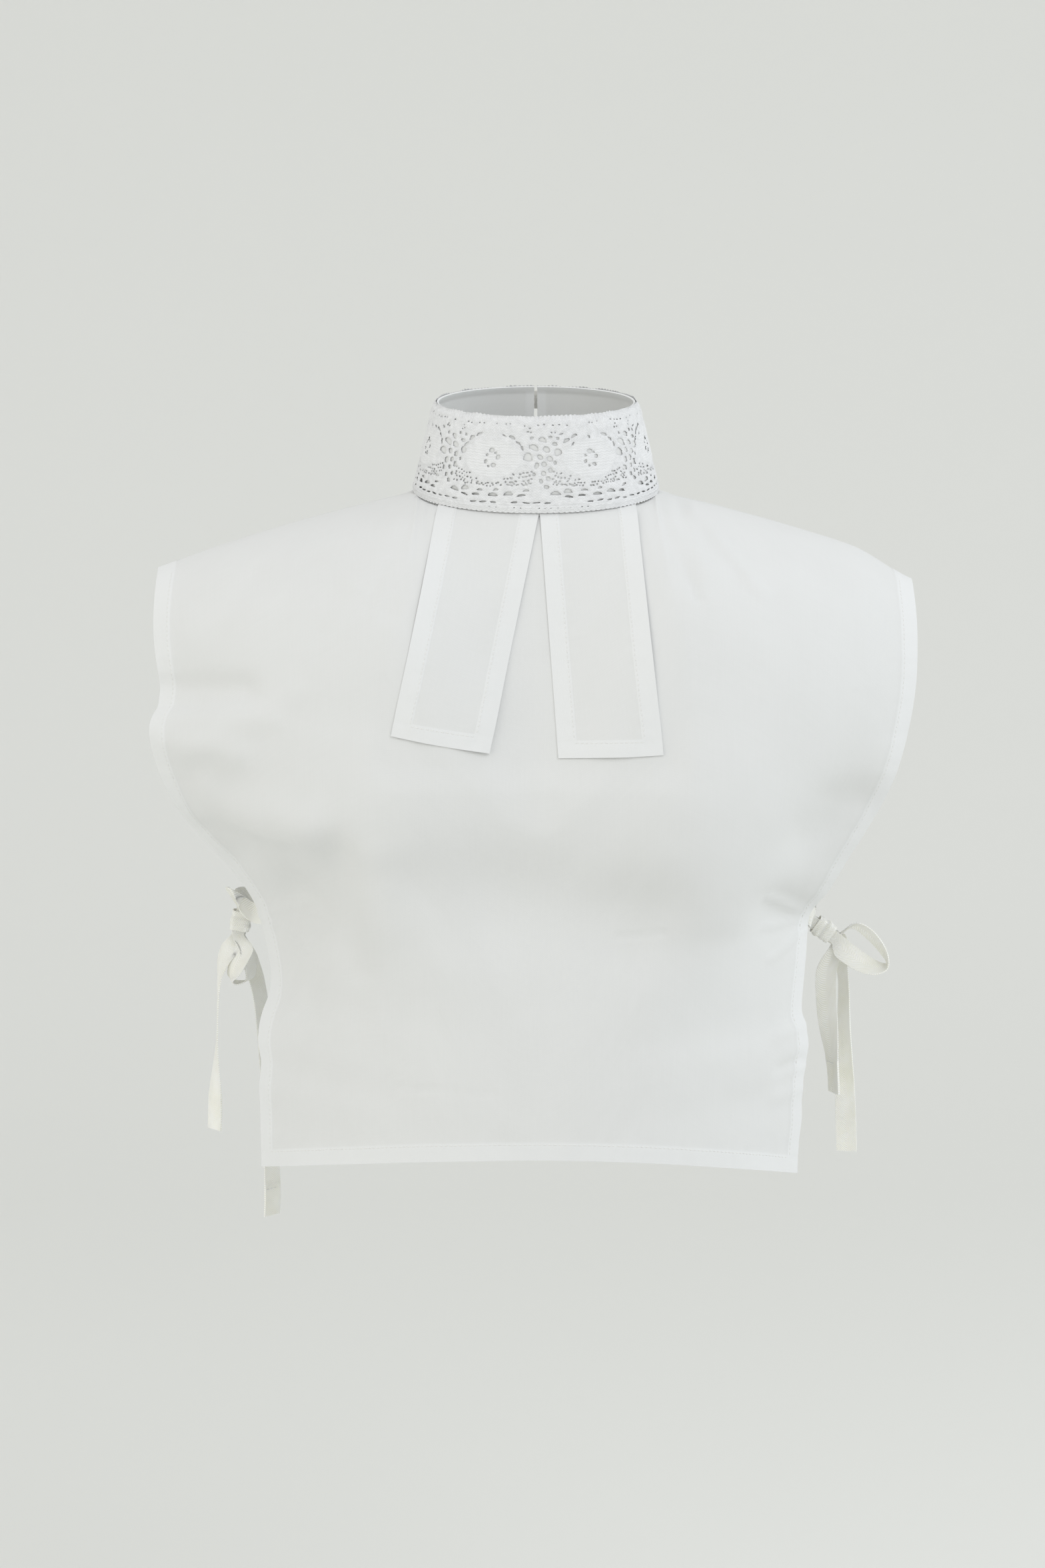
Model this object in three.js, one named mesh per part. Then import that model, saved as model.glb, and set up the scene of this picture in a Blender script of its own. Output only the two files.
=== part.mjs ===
// A white cotton collarette with a lace stand collar, two hemmed bands and tape bows at the sides.
// Millimetres, +Z up, the front towards -Y. The origin is the middle of the neck at the collar's base.
import * as THREE from 'three';
import { mergeVertices } from 'three/addons/utils/BufferGeometryUtils.js';

// Driving dimensions.
const clothWall = 1.0;
const hemWall = 1.8;
const seamGap = 0.4;
const neckDrop = 1.1;
const hemStep = 0.6;

// The collar is a tapered oval tube that tips forward: a tilt is a rise per millimetre of depth.
const collar = {
  baseHalfWidth: 70.5, baseHalfDepth: 62.5, baseHeight: -3.5, baseTilt: 0.145,
  topHalfWidth: 58.0, topHalfDepth: 53.5, topHeight: 48.5, topTilt: 0.105,
};
const stand = { rise: 1.2, columns: 42, rows: 2 };
const lace = { wall: 1.5, offset: 2.85, baseTilt: 0.128, lift: 0.9, repeats: 7, endGap: 0.9 };
// One repeat of the lace from the top edge to the footing: row heights, and "o" for an opening.
const laceChart = [
  { height: 4.5, row: '............' },
  { height: 6.5, row: 'o..........o' },
  { height: 5.5, row: '....o..o....' },
  { height: 6.5, row: '.o........o.' },
  { height: 5.5, row: '....o..o....' },
  { height: 6.5, row: 'o..........o' },
  { height: 5.0, row: '............' },
  { height: 3.6, row: '.oo..oo..oo.' },
  { height: 3.2, row: '............' },
  { height: 2.8, row: 'oo.oo.oo.oo.' },
  { height: 5.5, row: '............' },
];

// The panels' outline: left and right edges of the front, and the edge of the back, by height.
const outline = [
  { z: -40, left: -222, right: 221, back: 221 },
  { z: -62, left: -227.5, right: 226, back: 223 },
  { z: -85, left: -225.5, right: 225.5, back: 221 },
  { z: -112, left: -220, right: 223, back: 216 },
  { z: -124, left: -221, right: 221, back: 213 },
  { z: -137, left: -226.5, right: 218.5, back: 209 },
  { z: -152, left: -225, right: 215, back: 206 },
  { z: -170, left: -220, right: 210, back: 201 },
  { z: -188, left: -212, right: 202.5, back: 196 },
  { z: -209, left: -198.5, right: 191.5, back: 190 },
  { z: -227, left: -186, right: 182, back: 183 },
  { z: -245, left: -173, right: 173.5, back: 175 },
  { z: -260, left: -166, right: 164.5, back: 168 },
  { z: -283, left: -162.5, right: 162, back: 163 },
  { z: -306, left: -161, right: 160.5, back: 159 },
  { z: -330, left: -163, right: 162.5, back: 158 },
  { z: -376, left: -163.5, right: 160, back: 157 },
  { z: -410, left: -163.5, right: 156.5, back: 156 },
];
// Depth of the hanging cloth by height: at the middle and at the edges, and how full the curve is.
const frontDepth = [
  { z: 0, middle: -126, edge: -48, fullness: 2.4 },
  { z: -120, middle: -126, edge: -48, fullness: 2.4 },
  { z: -188, middle: -125, edge: -46, fullness: 2.5 },
  { z: -226, middle: -125, edge: -29, fullness: 2.9 },
  { z: -258, middle: -124, edge: -13, fullness: 3.2 },
  { z: -306, middle: -125, edge: -28, fullness: 2.7 },
  { z: -345, middle: -127, edge: -38, fullness: 2.4 },
  { z: -410, middle: -129, edge: -47, fullness: 2.2 },
];
const backDepth = [
  { z: 20, middle: 101, edge: 40, fullness: 2.4 },
  { z: -120, middle: 101, edge: 40, fullness: 2.4 },
  { z: -188, middle: 97, edge: 38, fullness: 2.6 },
  { z: -258, middle: 91, edge: 28, fullness: 3.0 },
  { z: -306, middle: 90, edge: 31, fullness: 2.8 },
  { z: -410, middle: 90, edge: 36, fullness: 2.6 },
];
// Folds and hollows: a line from one point to another, its half width, and how far it stands out.
const frontFolds = [
  { name: 'left bust', x1: -96, z1: -178, x2: -88, z2: -196, width: 46, out: 11 },
  { name: 'right bust', x1: 96, z1: -178, x2: 90, z2: -196, width: 46, out: 11 },
  { name: 'hollow under the bust', x1: -20, z1: -232, x2: 40, z2: -248, width: 42, out: -7 },
  { name: 'left side hollow', x1: -188, z1: -196, x2: -140, z2: -236, width: 26, out: -19 },
  { name: 'left side hollow, low', x1: -142, z1: -240, x2: -146, z2: -290, width: 15, out: -6 },
  { name: 'right side hollow', x1: 190, z1: -186, x2: 160, z2: -200, width: 18, out: -8 },
  { name: 'right tie dimple', x1: 158, z1: -256, x2: 140, z2: -246, width: 13, out: -8 },
  { name: 'left long fold', x1: -112, z1: -205, x2: -104, z2: -275, width: 9, out: -3 },
  { name: 'left armhole crease', x1: -222, z1: -118, x2: -168, z2: -112, width: 9, out: -5 },
  { name: 'left armhole roll', x1: -226, z1: -142, x2: -176, z2: -150, width: 11, out: 4 },
  { name: 'left shoulder drag', x1: -196, z1: -66, x2: -128, z2: -38, width: 8, out: -2.4 },
  { name: 'left collar fold', x1: -76, z1: -14, x2: -104, z2: -50, width: 7, out: 3 },
  { name: 'left collar crease', x1: -64, z1: -20, x2: -84, z2: -64, width: 6, out: -2.4 },
  { name: 'right collar fold', x1: 80, z1: -14, x2: 98, z2: -44, width: 7, out: 3 },
  { name: 'right collar crease', x1: 86, z1: -12, x2: 116, z2: -46, width: 5, out: -2.6 },
];
const backFolds = [
  { name: 'left shoulder blade', x1: -80, z1: -100, x2: -84, z2: -130, width: 40, out: 8 },
  { name: 'right shoulder blade', x1: 80, z1: -100, x2: 84, z2: -130, width: 40, out: 8 },
  { name: 'hollow between the blades', x1: 0, z1: -150, x2: 0, z2: -230, width: 36, out: -4 },
];
const panel = {
  neckShare: 0.4, rollHeight: 112, middleRollHeight: 178, shoulderSlope: 0.29, shoulderCrown: 2.6,
  rowPower: 1.5, spreadEnd: 0.5, bottomHem: 11, sideHem: 8.5,
};
const front = {
  facing: -1, edges: ['left', 'right'], depth: frontDepth, folds: frontFolds, tipDroop: [1, 8],
  middleHem: -381, hemDrop: [24, 28], middleRoundness: 1.25, columns: 22, rows: 22, slit: 0,
};
const back = {
  facing: 1, edges: ['back', 'back'], depth: backDepth, folds: backFolds, tipDroop: [1, 8],
  middleHem: -396, hemDrop: [4, 4], middleRoundness: 1.5, columns: 16, rows: 16, slit: 0.31,
};

// The two bands that hang from the collar: corners as x and z, seen from the front.
const bands = [
  { name: 'left_band', top: [-57, 1.5], bottom: [[-82.5, -133.5], [-27.5, -144]] },
  { name: 'right_band', top: [2, 58], bottom: [[12.8, -147], [72, -144]] },
];
const band = { tuck: 7, wall: 1.0, hem: 1.4, clear: 1.0, offset: 1.3, sideHem: 11, bottomHem: 10, rows: 11 };

// Twill tape ties: the tape, and the ring of tape that makes the bow's knot.
const tape = { width: 12.6, wall: 1.0, pinch: 7.6, fold: 1.6, layer: 1.6, steps: 2 };
const knot = { halfWidth: 5.6, halfDepth: 4.4, length: 11.5, wall: 1.0, squareness: 4.5, columns: 20 };
const button = { radius: 5.5, depth: 2.2, share: 0.82 };
// The two bows: the knot's middle, the way its tapes run out of it (seen from the front), and the
// heights at which the tapes are sewn to the panels.
const bows = {
  left: { hand: -1, x: -178, y: 2, z: -264, run: [-0.17, -0.985], sewnAt: -259 },
  right: { hand: 1, x: 174, y: 5, z: -270, run: [0.81, -0.586], sewnAt: -258 },
};

const cotton = new THREE.MeshStandardMaterial({ color: 0xeeefed, roughness: 0.85, metalness: 0 });
const laceThread = new THREE.MeshStandardMaterial({ color: 0xe9eaea, roughness: 0.9, metalness: 0 });
const twillTape = new THREE.MeshStandardMaterial({ color: 0xe8e8e1, roughness: 0.9, metalness: 0 });
const shell = new THREE.MeshStandardMaterial({ color: 0xf0efe9, roughness: 0.35, metalness: 0 });

const { lerp, smoothstep, clamp } = THREE.MathUtils;
const collarette = new THREE.Group();

function addPiece(name, geometry, material) {
  const mesh = new THREE.Mesh(geometry, material);
  mesh.name = name;
  collarette.add(mesh);
}

// A smooth reading of a table column at height z, with the rows in falling order of z.
function read(table, column, z) {
  const last = table.length - 1;
  let i = table.findIndex((row) => row.z <= z);
  if (i === 0 || z >= table[0].z) return table[0][column];
  if (i < 0) return table[last][column];
  i -= 1;
  const share = (table[i].z - z) / (table[i].z - table[i + 1].z);
  const [a, b, c, d] = [i - 1, i, i + 1, i + 2].map((k) => table[clamp(k, 0, last)][column]);
  const bend = (2 * a - 5 * b + 4 * c - d) * share ** 2 + (3 * b - a - 3 * c + d) * share ** 3;
  return b + ((c - a) * share + bend) / 2;
}

// A closed cloth solid: a grid of points with normals, thickened both ways, with cells left open.
function clothSolid({ us, vs, place, wall, open = () => false, wrap = false }) {
  const columns = us.length;
  const points = [];
  const addPoint = (u, v, side) => {
    const spread = 1e-3;
    const here = place(u, v);
    const across = place(u + spread, v).sub(place(u - spread, v));
    const down = place(u, v + spread).sub(place(u, v - spread));
    const normal = across.cross(down).normalize();
    points.push(...here.addScaledVector(normal, (side * wall(u, v)) / 2));
  };
  for (const side of [1, -1]) for (const v of vs) for (const u of us) addPoint(u, v, side);
  const layer = columns * vs.length;
  const at = (i, j, side) => (side > 0 ? 0 : layer) + j * columns + (i % columns);
  const across = wrap ? columns : columns - 1;
  const down = vs.length - 1;
  const solid = (i, j) => {
    if (j < 0 || j >= down) return false;
    const column = wrap ? (i + across) % across : i;
    return column >= 0 && column < across && !open(column, j);
  };
  const faces = [];
  const quad = (a, b, c, d) => faces.push(a, b, c, a, c, d);
  for (let j = 0; j < down; j++) {
    for (let i = 0; i < across; i++) {
      if (!solid(i, j)) continue;
      const [a, b, c, d] = [[i, j], [i, j + 1], [i + 1, j + 1], [i + 1, j]];
      quad(...[d, c, b, a].map(([p, q]) => at(p, q, 1)));
      quad(...[a, b, c, d].map(([p, q]) => at(p, q, -1)));
      const sides = [[i - 1, j, a, b], [i, j + 1, b, c], [i + 1, j, c, d], [i, j - 1, d, a]];
      for (const [p, q, from, to] of sides) {
        if (!solid(p, q)) quad(at(...from, 1), at(...to, 1), at(...to, -1), at(...from, -1));
      }
    }
  }
  return tidy(points, faces);
}

// Drops unused points, and turns the faces to point outwards.
function tidy(points, faces) {
  const geometry = new THREE.BufferGeometry();
  geometry.setAttribute('position', new THREE.Float32BufferAttribute(points, 3));
  geometry.setIndex(faces);
  const corner = [0, 1, 2].map(() => new THREE.Vector3());
  const position = geometry.getAttribute('position');
  let volume = 0;
  for (let f = 0; f < faces.length; f += 3) {
    corner.forEach((point, k) => point.fromBufferAttribute(position, faces[f + k]));
    volume += corner[0].dot(corner[1].clone().cross(corner[2])) / 6;
  }
  if (volume < 0) geometry.setIndex(faces.slice().reverse());
  const merged = mergeVertices(geometry.toNonIndexed(), 1e-4);
  merged.computeVertexNormals();
  return merged;
}

const evenly = (from, to, count) => Array.from({ length: count + 1 }, (_, i) => lerp(from, to, i / count));

// A point on the collar's tube: the angle from the front, the share of its height, and the offset out.
function collarPoint(angle, share, offset) {
  const halfWidth = lerp(collar.baseHalfWidth, collar.topHalfWidth, share) + offset;
  const halfDepth = lerp(collar.baseHalfDepth, collar.topHalfDepth, share) + offset;
  const y = -halfDepth * Math.cos(angle);
  const base = collar.baseHeight + collar.baseTilt * y;
  const top = collar.topHeight + collar.topTilt * y;
  return new THREE.Vector3(halfWidth * Math.sin(angle), y, lerp(base, top, share));
}

const collarHeight = collar.topHeight - collar.baseHeight;

// How far the folds and hollows in a table move the cloth out at a place.
function foldsAt(folds, x, z) {
  let out = 0;
  for (const fold of folds) {
    const [dx, dz] = [fold.x2 - fold.x1, fold.z2 - fold.z1];
    const along = ((x - fold.x1) * dx + (z - fold.z1) * dz) / Math.max(dx * dx + dz * dz, 1);
    const near = clamp(along, 0, 1);
    const far = Math.hypot(x - fold.x1 - near * dx, z - fold.z1 - near * dz) / fold.width;
    out += fold.out * Math.exp(-far * far);
  }
  return out;
}

// The top edge of a panel, round the neck and then along the shoulder.
function panelTop(side, u) {
  const share = Math.abs(u) / panel.neckShare;
  const hand = Math.sign(u) || 1;
  const sideways = u < 0 ? 0 : 1;
  if (share <= 1) {
    const turn = (share * Math.PI) / 2;
    const angle = side.facing < 0 ? hand * turn : hand * (Math.PI - turn);
    const point = collarPoint(angle, 0, 0);
    point.z -= neckDrop;
    return { point, angle: turn };
  }
  const neckSide = collarPoint(Math.PI / 2, 0, 0);
  const along = (Math.abs(u) - panel.neckShare) / (1 - panel.neckShare);
  const tip = Math.abs(read(outline, side.edges[sideways], -50));
  const x = lerp(neckSide.x, tip, along);
  const droop = side.tipDroop[sideways] * smoothstep(along, 0.75, 1) * along;
  const crown = panel.shoulderCrown * Math.sin(Math.PI * along);
  const z = neckSide.z - neckDrop - panel.shoulderSlope * (x - neckSide.x) + crown - droop;
  return { point: new THREE.Vector3(hand * x, (side.facing * seamGap) / 2, z), angle: Math.PI / 2 };
}

// A point on a panel: u runs from the left edge to the right one, v from the top to the hem.
function panelPoint(side, u, v) {
  const { point: top, angle } = panelTop(side, u);
  const sideways = u < 0 ? 0 : 1;
  const width = Math.abs(u);
  const hem = side.middleHem - side.hemDrop[sideways] * width * width;
  const z = lerp(top.z, hem, Math.abs(v) ** panel.rowPower);
  const edge = Math.abs(read(outline, side.edges[sideways], z));
  const spread = smoothstep(v, 0, panel.spreadEnd);
  const x = lerp(top.x, u * edge, spread);
  const reach = Math.min(Math.abs(x) / edge, 1);
  const middle = read(side.depth, 'middle', z);
  const rim = read(side.depth, 'edge', z);
  const fullness = read(side.depth, 'fullness', z);
  const hanging = lerp(middle, rim, reach ** fullness) + side.facing * foldsAt(side.folds, x, z);
  const toSide = smoothstep(angle, 0, Math.PI / 2);
  const roundness = lerp(side.middleRoundness, 2, toSide);
  const rollHeight = lerp(panel.middleRollHeight, panel.rollHeight, toSide);
  const fallen = Math.min((top.z - z) / rollHeight, 1);
  const rolled = (1 - (1 - fallen) ** roundness) ** (1 / roundness);
  return new THREE.Vector3(x, lerp(top.y, hanging, rolled), z);
}

// Grid lines of a panel, with its hems' edges among them.
function panelGrid(side) {
  const sideHem = panel.sideHem / 200;
  const step = hemStep / 200;
  const inner = evenly(-1 + sideHem + step, 1 - sideHem - step, side.columns);
  const us = [-1, -1 + sideHem, ...inner, 1 - sideHem, 1];
  const hemAt = (height) => (1 - height / Math.abs(side.middleHem)) ** (1 / panel.rowPower);
  const vs = [...evenly(0, hemAt(panel.bottomHem + hemStep), side.rows), hemAt(panel.bottomHem), 1];
  return { us, vs, sideHem, bottomHem: hemAt(panel.bottomHem) };
}

function addPanel(name, side) {
  const { us, vs, sideHem, bottomHem } = panelGrid(side);
  const slitHalf = 0.0045;
  if (side.slit) us.splice(us.length / 2, 0, -slitHalf, slitHalf);
  const middle = us.filter((u, i) => i === 0 || u - us[i - 1] > 1e-6);
  const slitColumn = middle.indexOf(-slitHalf);
  const wall = (u, v) => (Math.abs(u) > 1 - sideHem - 1e-6 || v > bottomHem - 1e-6 ? hemWall : clothWall);
  addPiece(name, clothSolid({
    us: middle,
    vs,
    place: (u, v) => panelPoint(side, clamp(u, -1, 1), clamp(v, 0, 1)),
    wall,
    open: (i, j) => side.slit > 0 && i === slitColumn && vs[j + 1] < side.slit,
  }), cotton);
}

// The front panel's point at a given x and z, found by steps.
function frontAt(x, z) {
  let [u, v] = [x / 160, Math.max(-z, 1) / 400];
  const small = 1e-3;
  for (let i = 0; i < 24; i++) {
    const here = panelPoint(front, u, v);
    const byU = (panelPoint(front, u + small, v).x - here.x) / small;
    const byV = (panelPoint(front, u, v + small).z - here.z) / small;
    u = clamp(u + (x - here.x) / byU, -1, 1);
    v = clamp(v + (z - here.z) / byV, 0, 1);
  }
  return { point: panelPoint(front, u, v), u, v };
}

function frontNormal(u, v) {
  const small = 1e-3;
  const across = panelPoint(front, u + small, v).sub(panelPoint(front, u - small, v));
  const down = panelPoint(front, u, v + small).sub(panelPoint(front, u, Math.max(v - small, 0)));
  return down.cross(across).normalize();
}

function addStand() {
  const turn = Math.PI - lace.endGap / collar.topHalfWidth;
  addPiece('collar_stand', clothSolid({
    us: evenly(-turn, turn, stand.columns),
    vs: evenly(1 + stand.rise / collarHeight, 0, stand.rows),
    place: (angle, share) => collarPoint(angle, share, 0),
    wall: () => clothWall,
  }), cotton);
}

// The lace: a strip round the stand, cut through where the chart has an opening.
function addLace() {
  const turn = Math.PI - lace.endGap / collar.topHalfWidth;
  const repeatColumns = laceChart[0].row.length;
  const columns = repeatColumns * lace.repeats;
  const total = laceChart.reduce((sum, line) => sum + line.height, 0);
  let used = 0;
  const vs = [1, ...laceChart.map((line) => 1 - (used += line.height) / total)];
  const lifted = (angle, share) => {
    const point = collarPoint(angle, share, lace.offset);
    point.z += (1 - share) * ((lace.baseTilt - collar.baseTilt) * point.y + lace.lift);
    return point;
  };
  const isOpen = (i, j) => laceChart[j].row[(i + repeatColumns / 2) % repeatColumns] === 'o';
  addPiece('collar_lace', clothSolid({
    us: evenly(-turn, turn, columns),
    vs,
    place: lifted,
    wall: () => lace.wall,
    open: (i, j) => i > 0 && i < columns - 1 && isOpen(i, j),
  }), laceThread);
}

// A point between the rows of a list, each row a function of u.
function betweenRows(rows, u, v) {
  const i = clamp(Math.floor(v), 0, rows.length - 2);
  return rows[i](u).lerp(rows[i + 1](u), v - i);
}

// A band starts inside the collar, comes out under the lace and lies over the front panel.
function addBand({ name, top, bottom }) {
  const inCollar = (height) => (s) => {
    const x = lerp(top[0], top[1], s);
    const share = height / collarHeight;
    const width = lerp(collar.baseHalfWidth, collar.topHalfWidth, share) + band.offset;
    return collarPoint(Math.asin(x / width), share, band.offset);
  };
  const overPanel = (drop) => (s) => {
    const start = inCollar(0)(s);
    const low = lerp(bottom[0][1], bottom[1][1], s);
    const x = lerp(start.x, lerp(bottom[0][0], bottom[1][0], s), drop);
    const z = lerp(start.z, low, drop);
    const { point, u, v } = frontAt(x, z);
    const away = clothWall / 2 + band.clear + band.wall / 2;
    return point.addScaledVector(frontNormal(u, v), away);
  };
  const length = 135;
  const hemTop = 1 - (band.bottomHem + hemStep) / length;
  const drops = evenly(0.11, 1, band.rows).map((t) => hemTop * t ** 1.6);
  const lows = [1 - band.bottomHem / length, 1];
  const rows = [inCollar(band.tuck), inCollar(3), inCollar(0.2), ...[...drops, ...lows].map(overPanel)];
  const side = band.sideHem / 57;
  const step = hemStep / 57;
  const us = [0, side / 2, side, ...evenly(side + step, 1 - side - step, 4), 1 - side, 1 - side / 2, 1];
  const hemRow = rows.length - 2;
  const isHem = (u, v) => v > 1 && (u < side + 1e-6 || u > 1 - side - 1e-6 || v > hemRow - 1e-6);
  addPiece(name, clothSolid({
    us,
    vs: rows.map((row, i) => i),
    place: (u, v) => betweenRows(rows, u, v),
    wall: (u, v) => (isHem(u, v) ? band.hem : band.wall),
  }), cotton);
}

// A length of tape through a list of stations: the middle, the way across it, and its width there.
function tapeSolid(stations) {
  const middle = new THREE.CatmullRomCurve3(stations.map((s) => s.at), false, 'catmullrom', 0.5);
  const acrossLine = new THREE.CatmullRomCurve3(stations.map((s) => s.across), false, 'catmullrom', 0.5);
  const last = stations.length - 1;
  const half = (v) => {
    const i = clamp(Math.floor(v * last), 0, last - 1);
    return lerp(stations[i].width, stations[i + 1].width, v * last - i) / 2;
  };
  const place = (u, v) => {
    const w = clamp(v, 0, 1);
    return middle.getPoint(w).addScaledVector(acrossLine.getPoint(w).normalize(), u * half(w));
  };
  const foldStart = 1 - 1 / last;
  const steps = evenly(0, 1, last * tape.steps);
  return clothSolid({
    us: [-1, 0, 1],
    vs: [...steps.filter((v) => v < foldStart - 1e-6), foldStart - 0.02, foldStart, 1],
    place,
    wall: (u, v) => (v > foldStart - 1e-6 ? tape.fold : tape.wall),
  });
}

// Where a tape is sewn inside a panel's edge: one station for each distance in from the edge.
function sewn(side, bow, distances) {
  const edge = Math.abs(read(outline, side.edges[bow.hand < 0 ? 0 : 1], bow.sewnAt));
  return distances.map((distance) => {
    const u = bow.hand * (1 - distance / edge);
    let [low, high] = [0, 1];
    for (let i = 0; i < 30; i++) {
      const middle = (low + high) / 2;
      if (panelPoint(side, u, middle).z > bow.sewnAt) low = middle;
      else high = middle;
    }
    const small = 1e-3;
    const point = panelPoint(side, u, low);
    const down = panelPoint(side, u, low + small).sub(point).normalize();
    const outward = panelPoint(side, u - bow.hand * small, low).sub(point);
    const inward = down.clone().cross(outward).normalize();
    if (inward.y * side.facing > 0) inward.negate();
    const away = hemWall / 2 + 0.3 + tape.wall / 2;
    return { at: point.addScaledVector(inward, away), across: down, width: tape.width };
  });
}

// A bow's own directions: along its run, up across it, and straight back.
function bowFrame(bow) {
  const along = new THREE.Vector3(bow.run[0], 0, bow.run[1]);
  const up = new THREE.Vector3(-bow.run[1], 0, bow.run[0]);
  if (up.z < 0) up.negate();
  return { along, up, back: new THREE.Vector3(0, 1, 0) };
}

function inBow(bow, a, b, c) {
  const { along, up, back: deep } = bowFrame(bow);
  const at = new THREE.Vector3(bow.x, bow.y, bow.z);
  return at.addScaledVector(along, a).addScaledVector(up, b).addScaledVector(deep, c);
}

// A tape's station in the bow: the tilt turns it from lying flat to standing on edge.
function bowStation(bow, { along, up = 0, back: deep, tilt = 0, width = tape.width }) {
  const frame = bowFrame(bow);
  const across = frame.up.multiplyScalar(-Math.cos(tilt)).addScaledVector(frame.back, -Math.sin(tilt));
  return { at: inBow(bow, along, up, deep), across, width };
}

// The stations of one loop, out of the knot and back into it, ending in a turn inside the knot.
function loopStations(bow, loop) {
  const layer = tape.layer;
  const width = tape.pinch;
  const tilt = Math.PI;
  const rows = [
    ...[-9, -5, 5, 9].map((along) => ({ along, back: -1.5 * layer, width })),
    ...loop,
    ...[9, 5, -1].map((along) => ({ along, back: -0.5 * layer, tilt, width })),
    { along: -2.4, back: 0, tilt, width },
    ...[-1, 5, 9].map((along) => ({ along, back: 0.5 * layer, tilt, width })),
  ];
  return rows.map((row) => bowStation(bow, row));
}

// Tails and leads: points with the way across the tape.
const free = (rows) => rows.map(([x, y, z, acrossX, acrossY, acrossZ]) => ({
  at: new THREE.Vector3(x, y, z),
  across: new THREE.Vector3(acrossX, acrossY, acrossZ),
  width: tape.width,
}));

function addBow(name, bow, { loop, lead, backLead, tail, backTail }) {
  addPiece(`${name}_front_tie`, tapeSolid([
    ...sewn(front, bow, [7, 1]), ...free(lead), ...loopStations(bow, loop), ...free(tail),
  ]), twillTape);
  addPiece(`${name}_back_tie`, tapeSolid([
    ...sewn(back, bow, [7, 1]),
    ...free(backLead),
    ...[-9, -5, 5, 9].map((along) => bowStation(bow, { along, back: 1.5 * tape.layer, width: tape.pinch })),
    ...free(backTail),
  ]), twillTape);
  const power = 2 / knot.squareness;
  const rounded = (value) => Math.sign(value) * Math.abs(value) ** power;
  const turns = evenly(0, 2 * Math.PI, knot.columns).slice(0, -1);
  addPiece(`${name}_bow_knot`, clothSolid({
    us: turns,
    vs: evenly(-knot.length / 2, knot.length / 2, 4),
    place: (u, v) => {
      const waist = 1 - 0.03 * (2 * v / knot.length) ** 2;
      const up = knot.halfWidth * waist * rounded(Math.cos(u));
      return inBow(bow, v, up, knot.halfDepth * waist * rounded(Math.sin(u)));
    },
    wall: () => knot.wall,
    wrap: true,
  }), twillTape);
}

function addButton() {
  const geometry = new THREE.CylinderGeometry(button.radius - 0.9, button.radius, button.depth, 20);
  const spot = collarPoint(Math.PI, button.share, lace.offset + lace.wall / 2 + button.depth / 2 + 1.1);
  geometry.translate(spot.x, spot.y, spot.z);
  addPiece('collar_button', geometry, shell);
}

addPanel('front_panel', front);
addPanel('back_panel', back);
addStand();
addLace();
bands.forEach(addBand);
addBow('left', bows.left, {
  loop: [
    { along: 15, up: -5, back: -5, tilt: 0.5 },
    { along: 29, up: -1.5, back: -7, tilt: 0.8 },
    { along: 36, up: 0, back: -4, tilt: 1.35 },
    { along: 38, up: -5, back: -0.5, tilt: 1.7 },
    { along: 34, up: -11, back: 1.5, tilt: 1.9 },
    { along: 20, up: -8, back: -1, tilt: 2.3 },
  ],
  lead: [
    [-171.5, -5, -257, 0, -0.1, -1],
    [-180, -9, -249, 0.3, -0.4, -0.85],
    [-181, -4, -246, 0.9, -0.2, -0.4],
  ],
  backLead: [
    [-173, 19, -253, 0.2, 0.2, -1],
    [-177, 9, -250, 0.8, 0.1, -0.6],
  ],
  tail: [
    [-184.5, 2.2, -281, -0.8, 0.5, 0.3],
    [-189, 3, -290, -0.5, 0.8, 0.2],
    [-192, 4, -305, -0.15, 0.98, 0],
    [-193.7, 2.5, -340, -0.1, 1, 0],
    [-195, 1, -371, -0.6, 0.8, 0],
    [-195.4, 0, -393, -0.65, 0.75, 0],
  ],
  backTail: [
    [-178.5, 6.5, -279.5, 0.95, 0.2, -0.1],
    [-174, 13.5, -290, 0.8, 0.6, 0],
    [-168, 19, -315, 0.6, 0.8, 0],
    [-163.5, 20, -370, 0.65, 0.75, 0],
    [-161.8, 20, -432, 0.68, 0.73, 0],
    [-162.2, 20, -452, 0.68, 0.73, 0],
  ],
});
addBow('right', bows.right, {
  loop: [
    { along: 15, up: -2.5, back: -4, tilt: 0.25 },
    { along: 28, up: -2.5, back: -6, tilt: 0.5 },
    { along: 39, up: 0, back: -6, tilt: 1 },
    { along: 44, up: 5, back: -4, tilt: 1.5 },
    { along: 36, up: 9.5, back: -3, tilt: 1.65 },
    { along: 22, up: 11, back: -2, tilt: 1.7 },
    { along: 12.5, up: 7.5, back: -3, tilt: 2, width: 8 },
  ],
  lead: [[166.5, -4, -260.5, -0.2, -0.2, -1]],
  backLead: [[168.5, 17, -261, -0.3, 0.1, -0.95]],
  tail: [
    [179.5, 3.5, -284, 0.9, -0.1, 0.4],
    [176, 5.5, -298, 1, -0.1, 0.05],
    [177, 7, -322, 0.95, -0.3, 0],
    [180, 6.5, -351, 0.5, -0.85, 0],
    [181.6, 6, -371.7, 0.4, -0.9, 0],
  ],
  backTail: [
    [184, 9, -279.5, -0.65, 0.2, -0.7],
    [186, 14.5, -292, -0.5, 0.8, -0.2],
    [187.5, 16, -308, -0.45, 0.9, 0],
    [188, 15, -336, -0.6, 0.8, 0],
    [189.5, 11, -389, -0.97, 0.2, 0],
    [190.1, 9.5, -409, -1, 0.1, 0],
  ],
});
addButton();

export default collarette;
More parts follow.
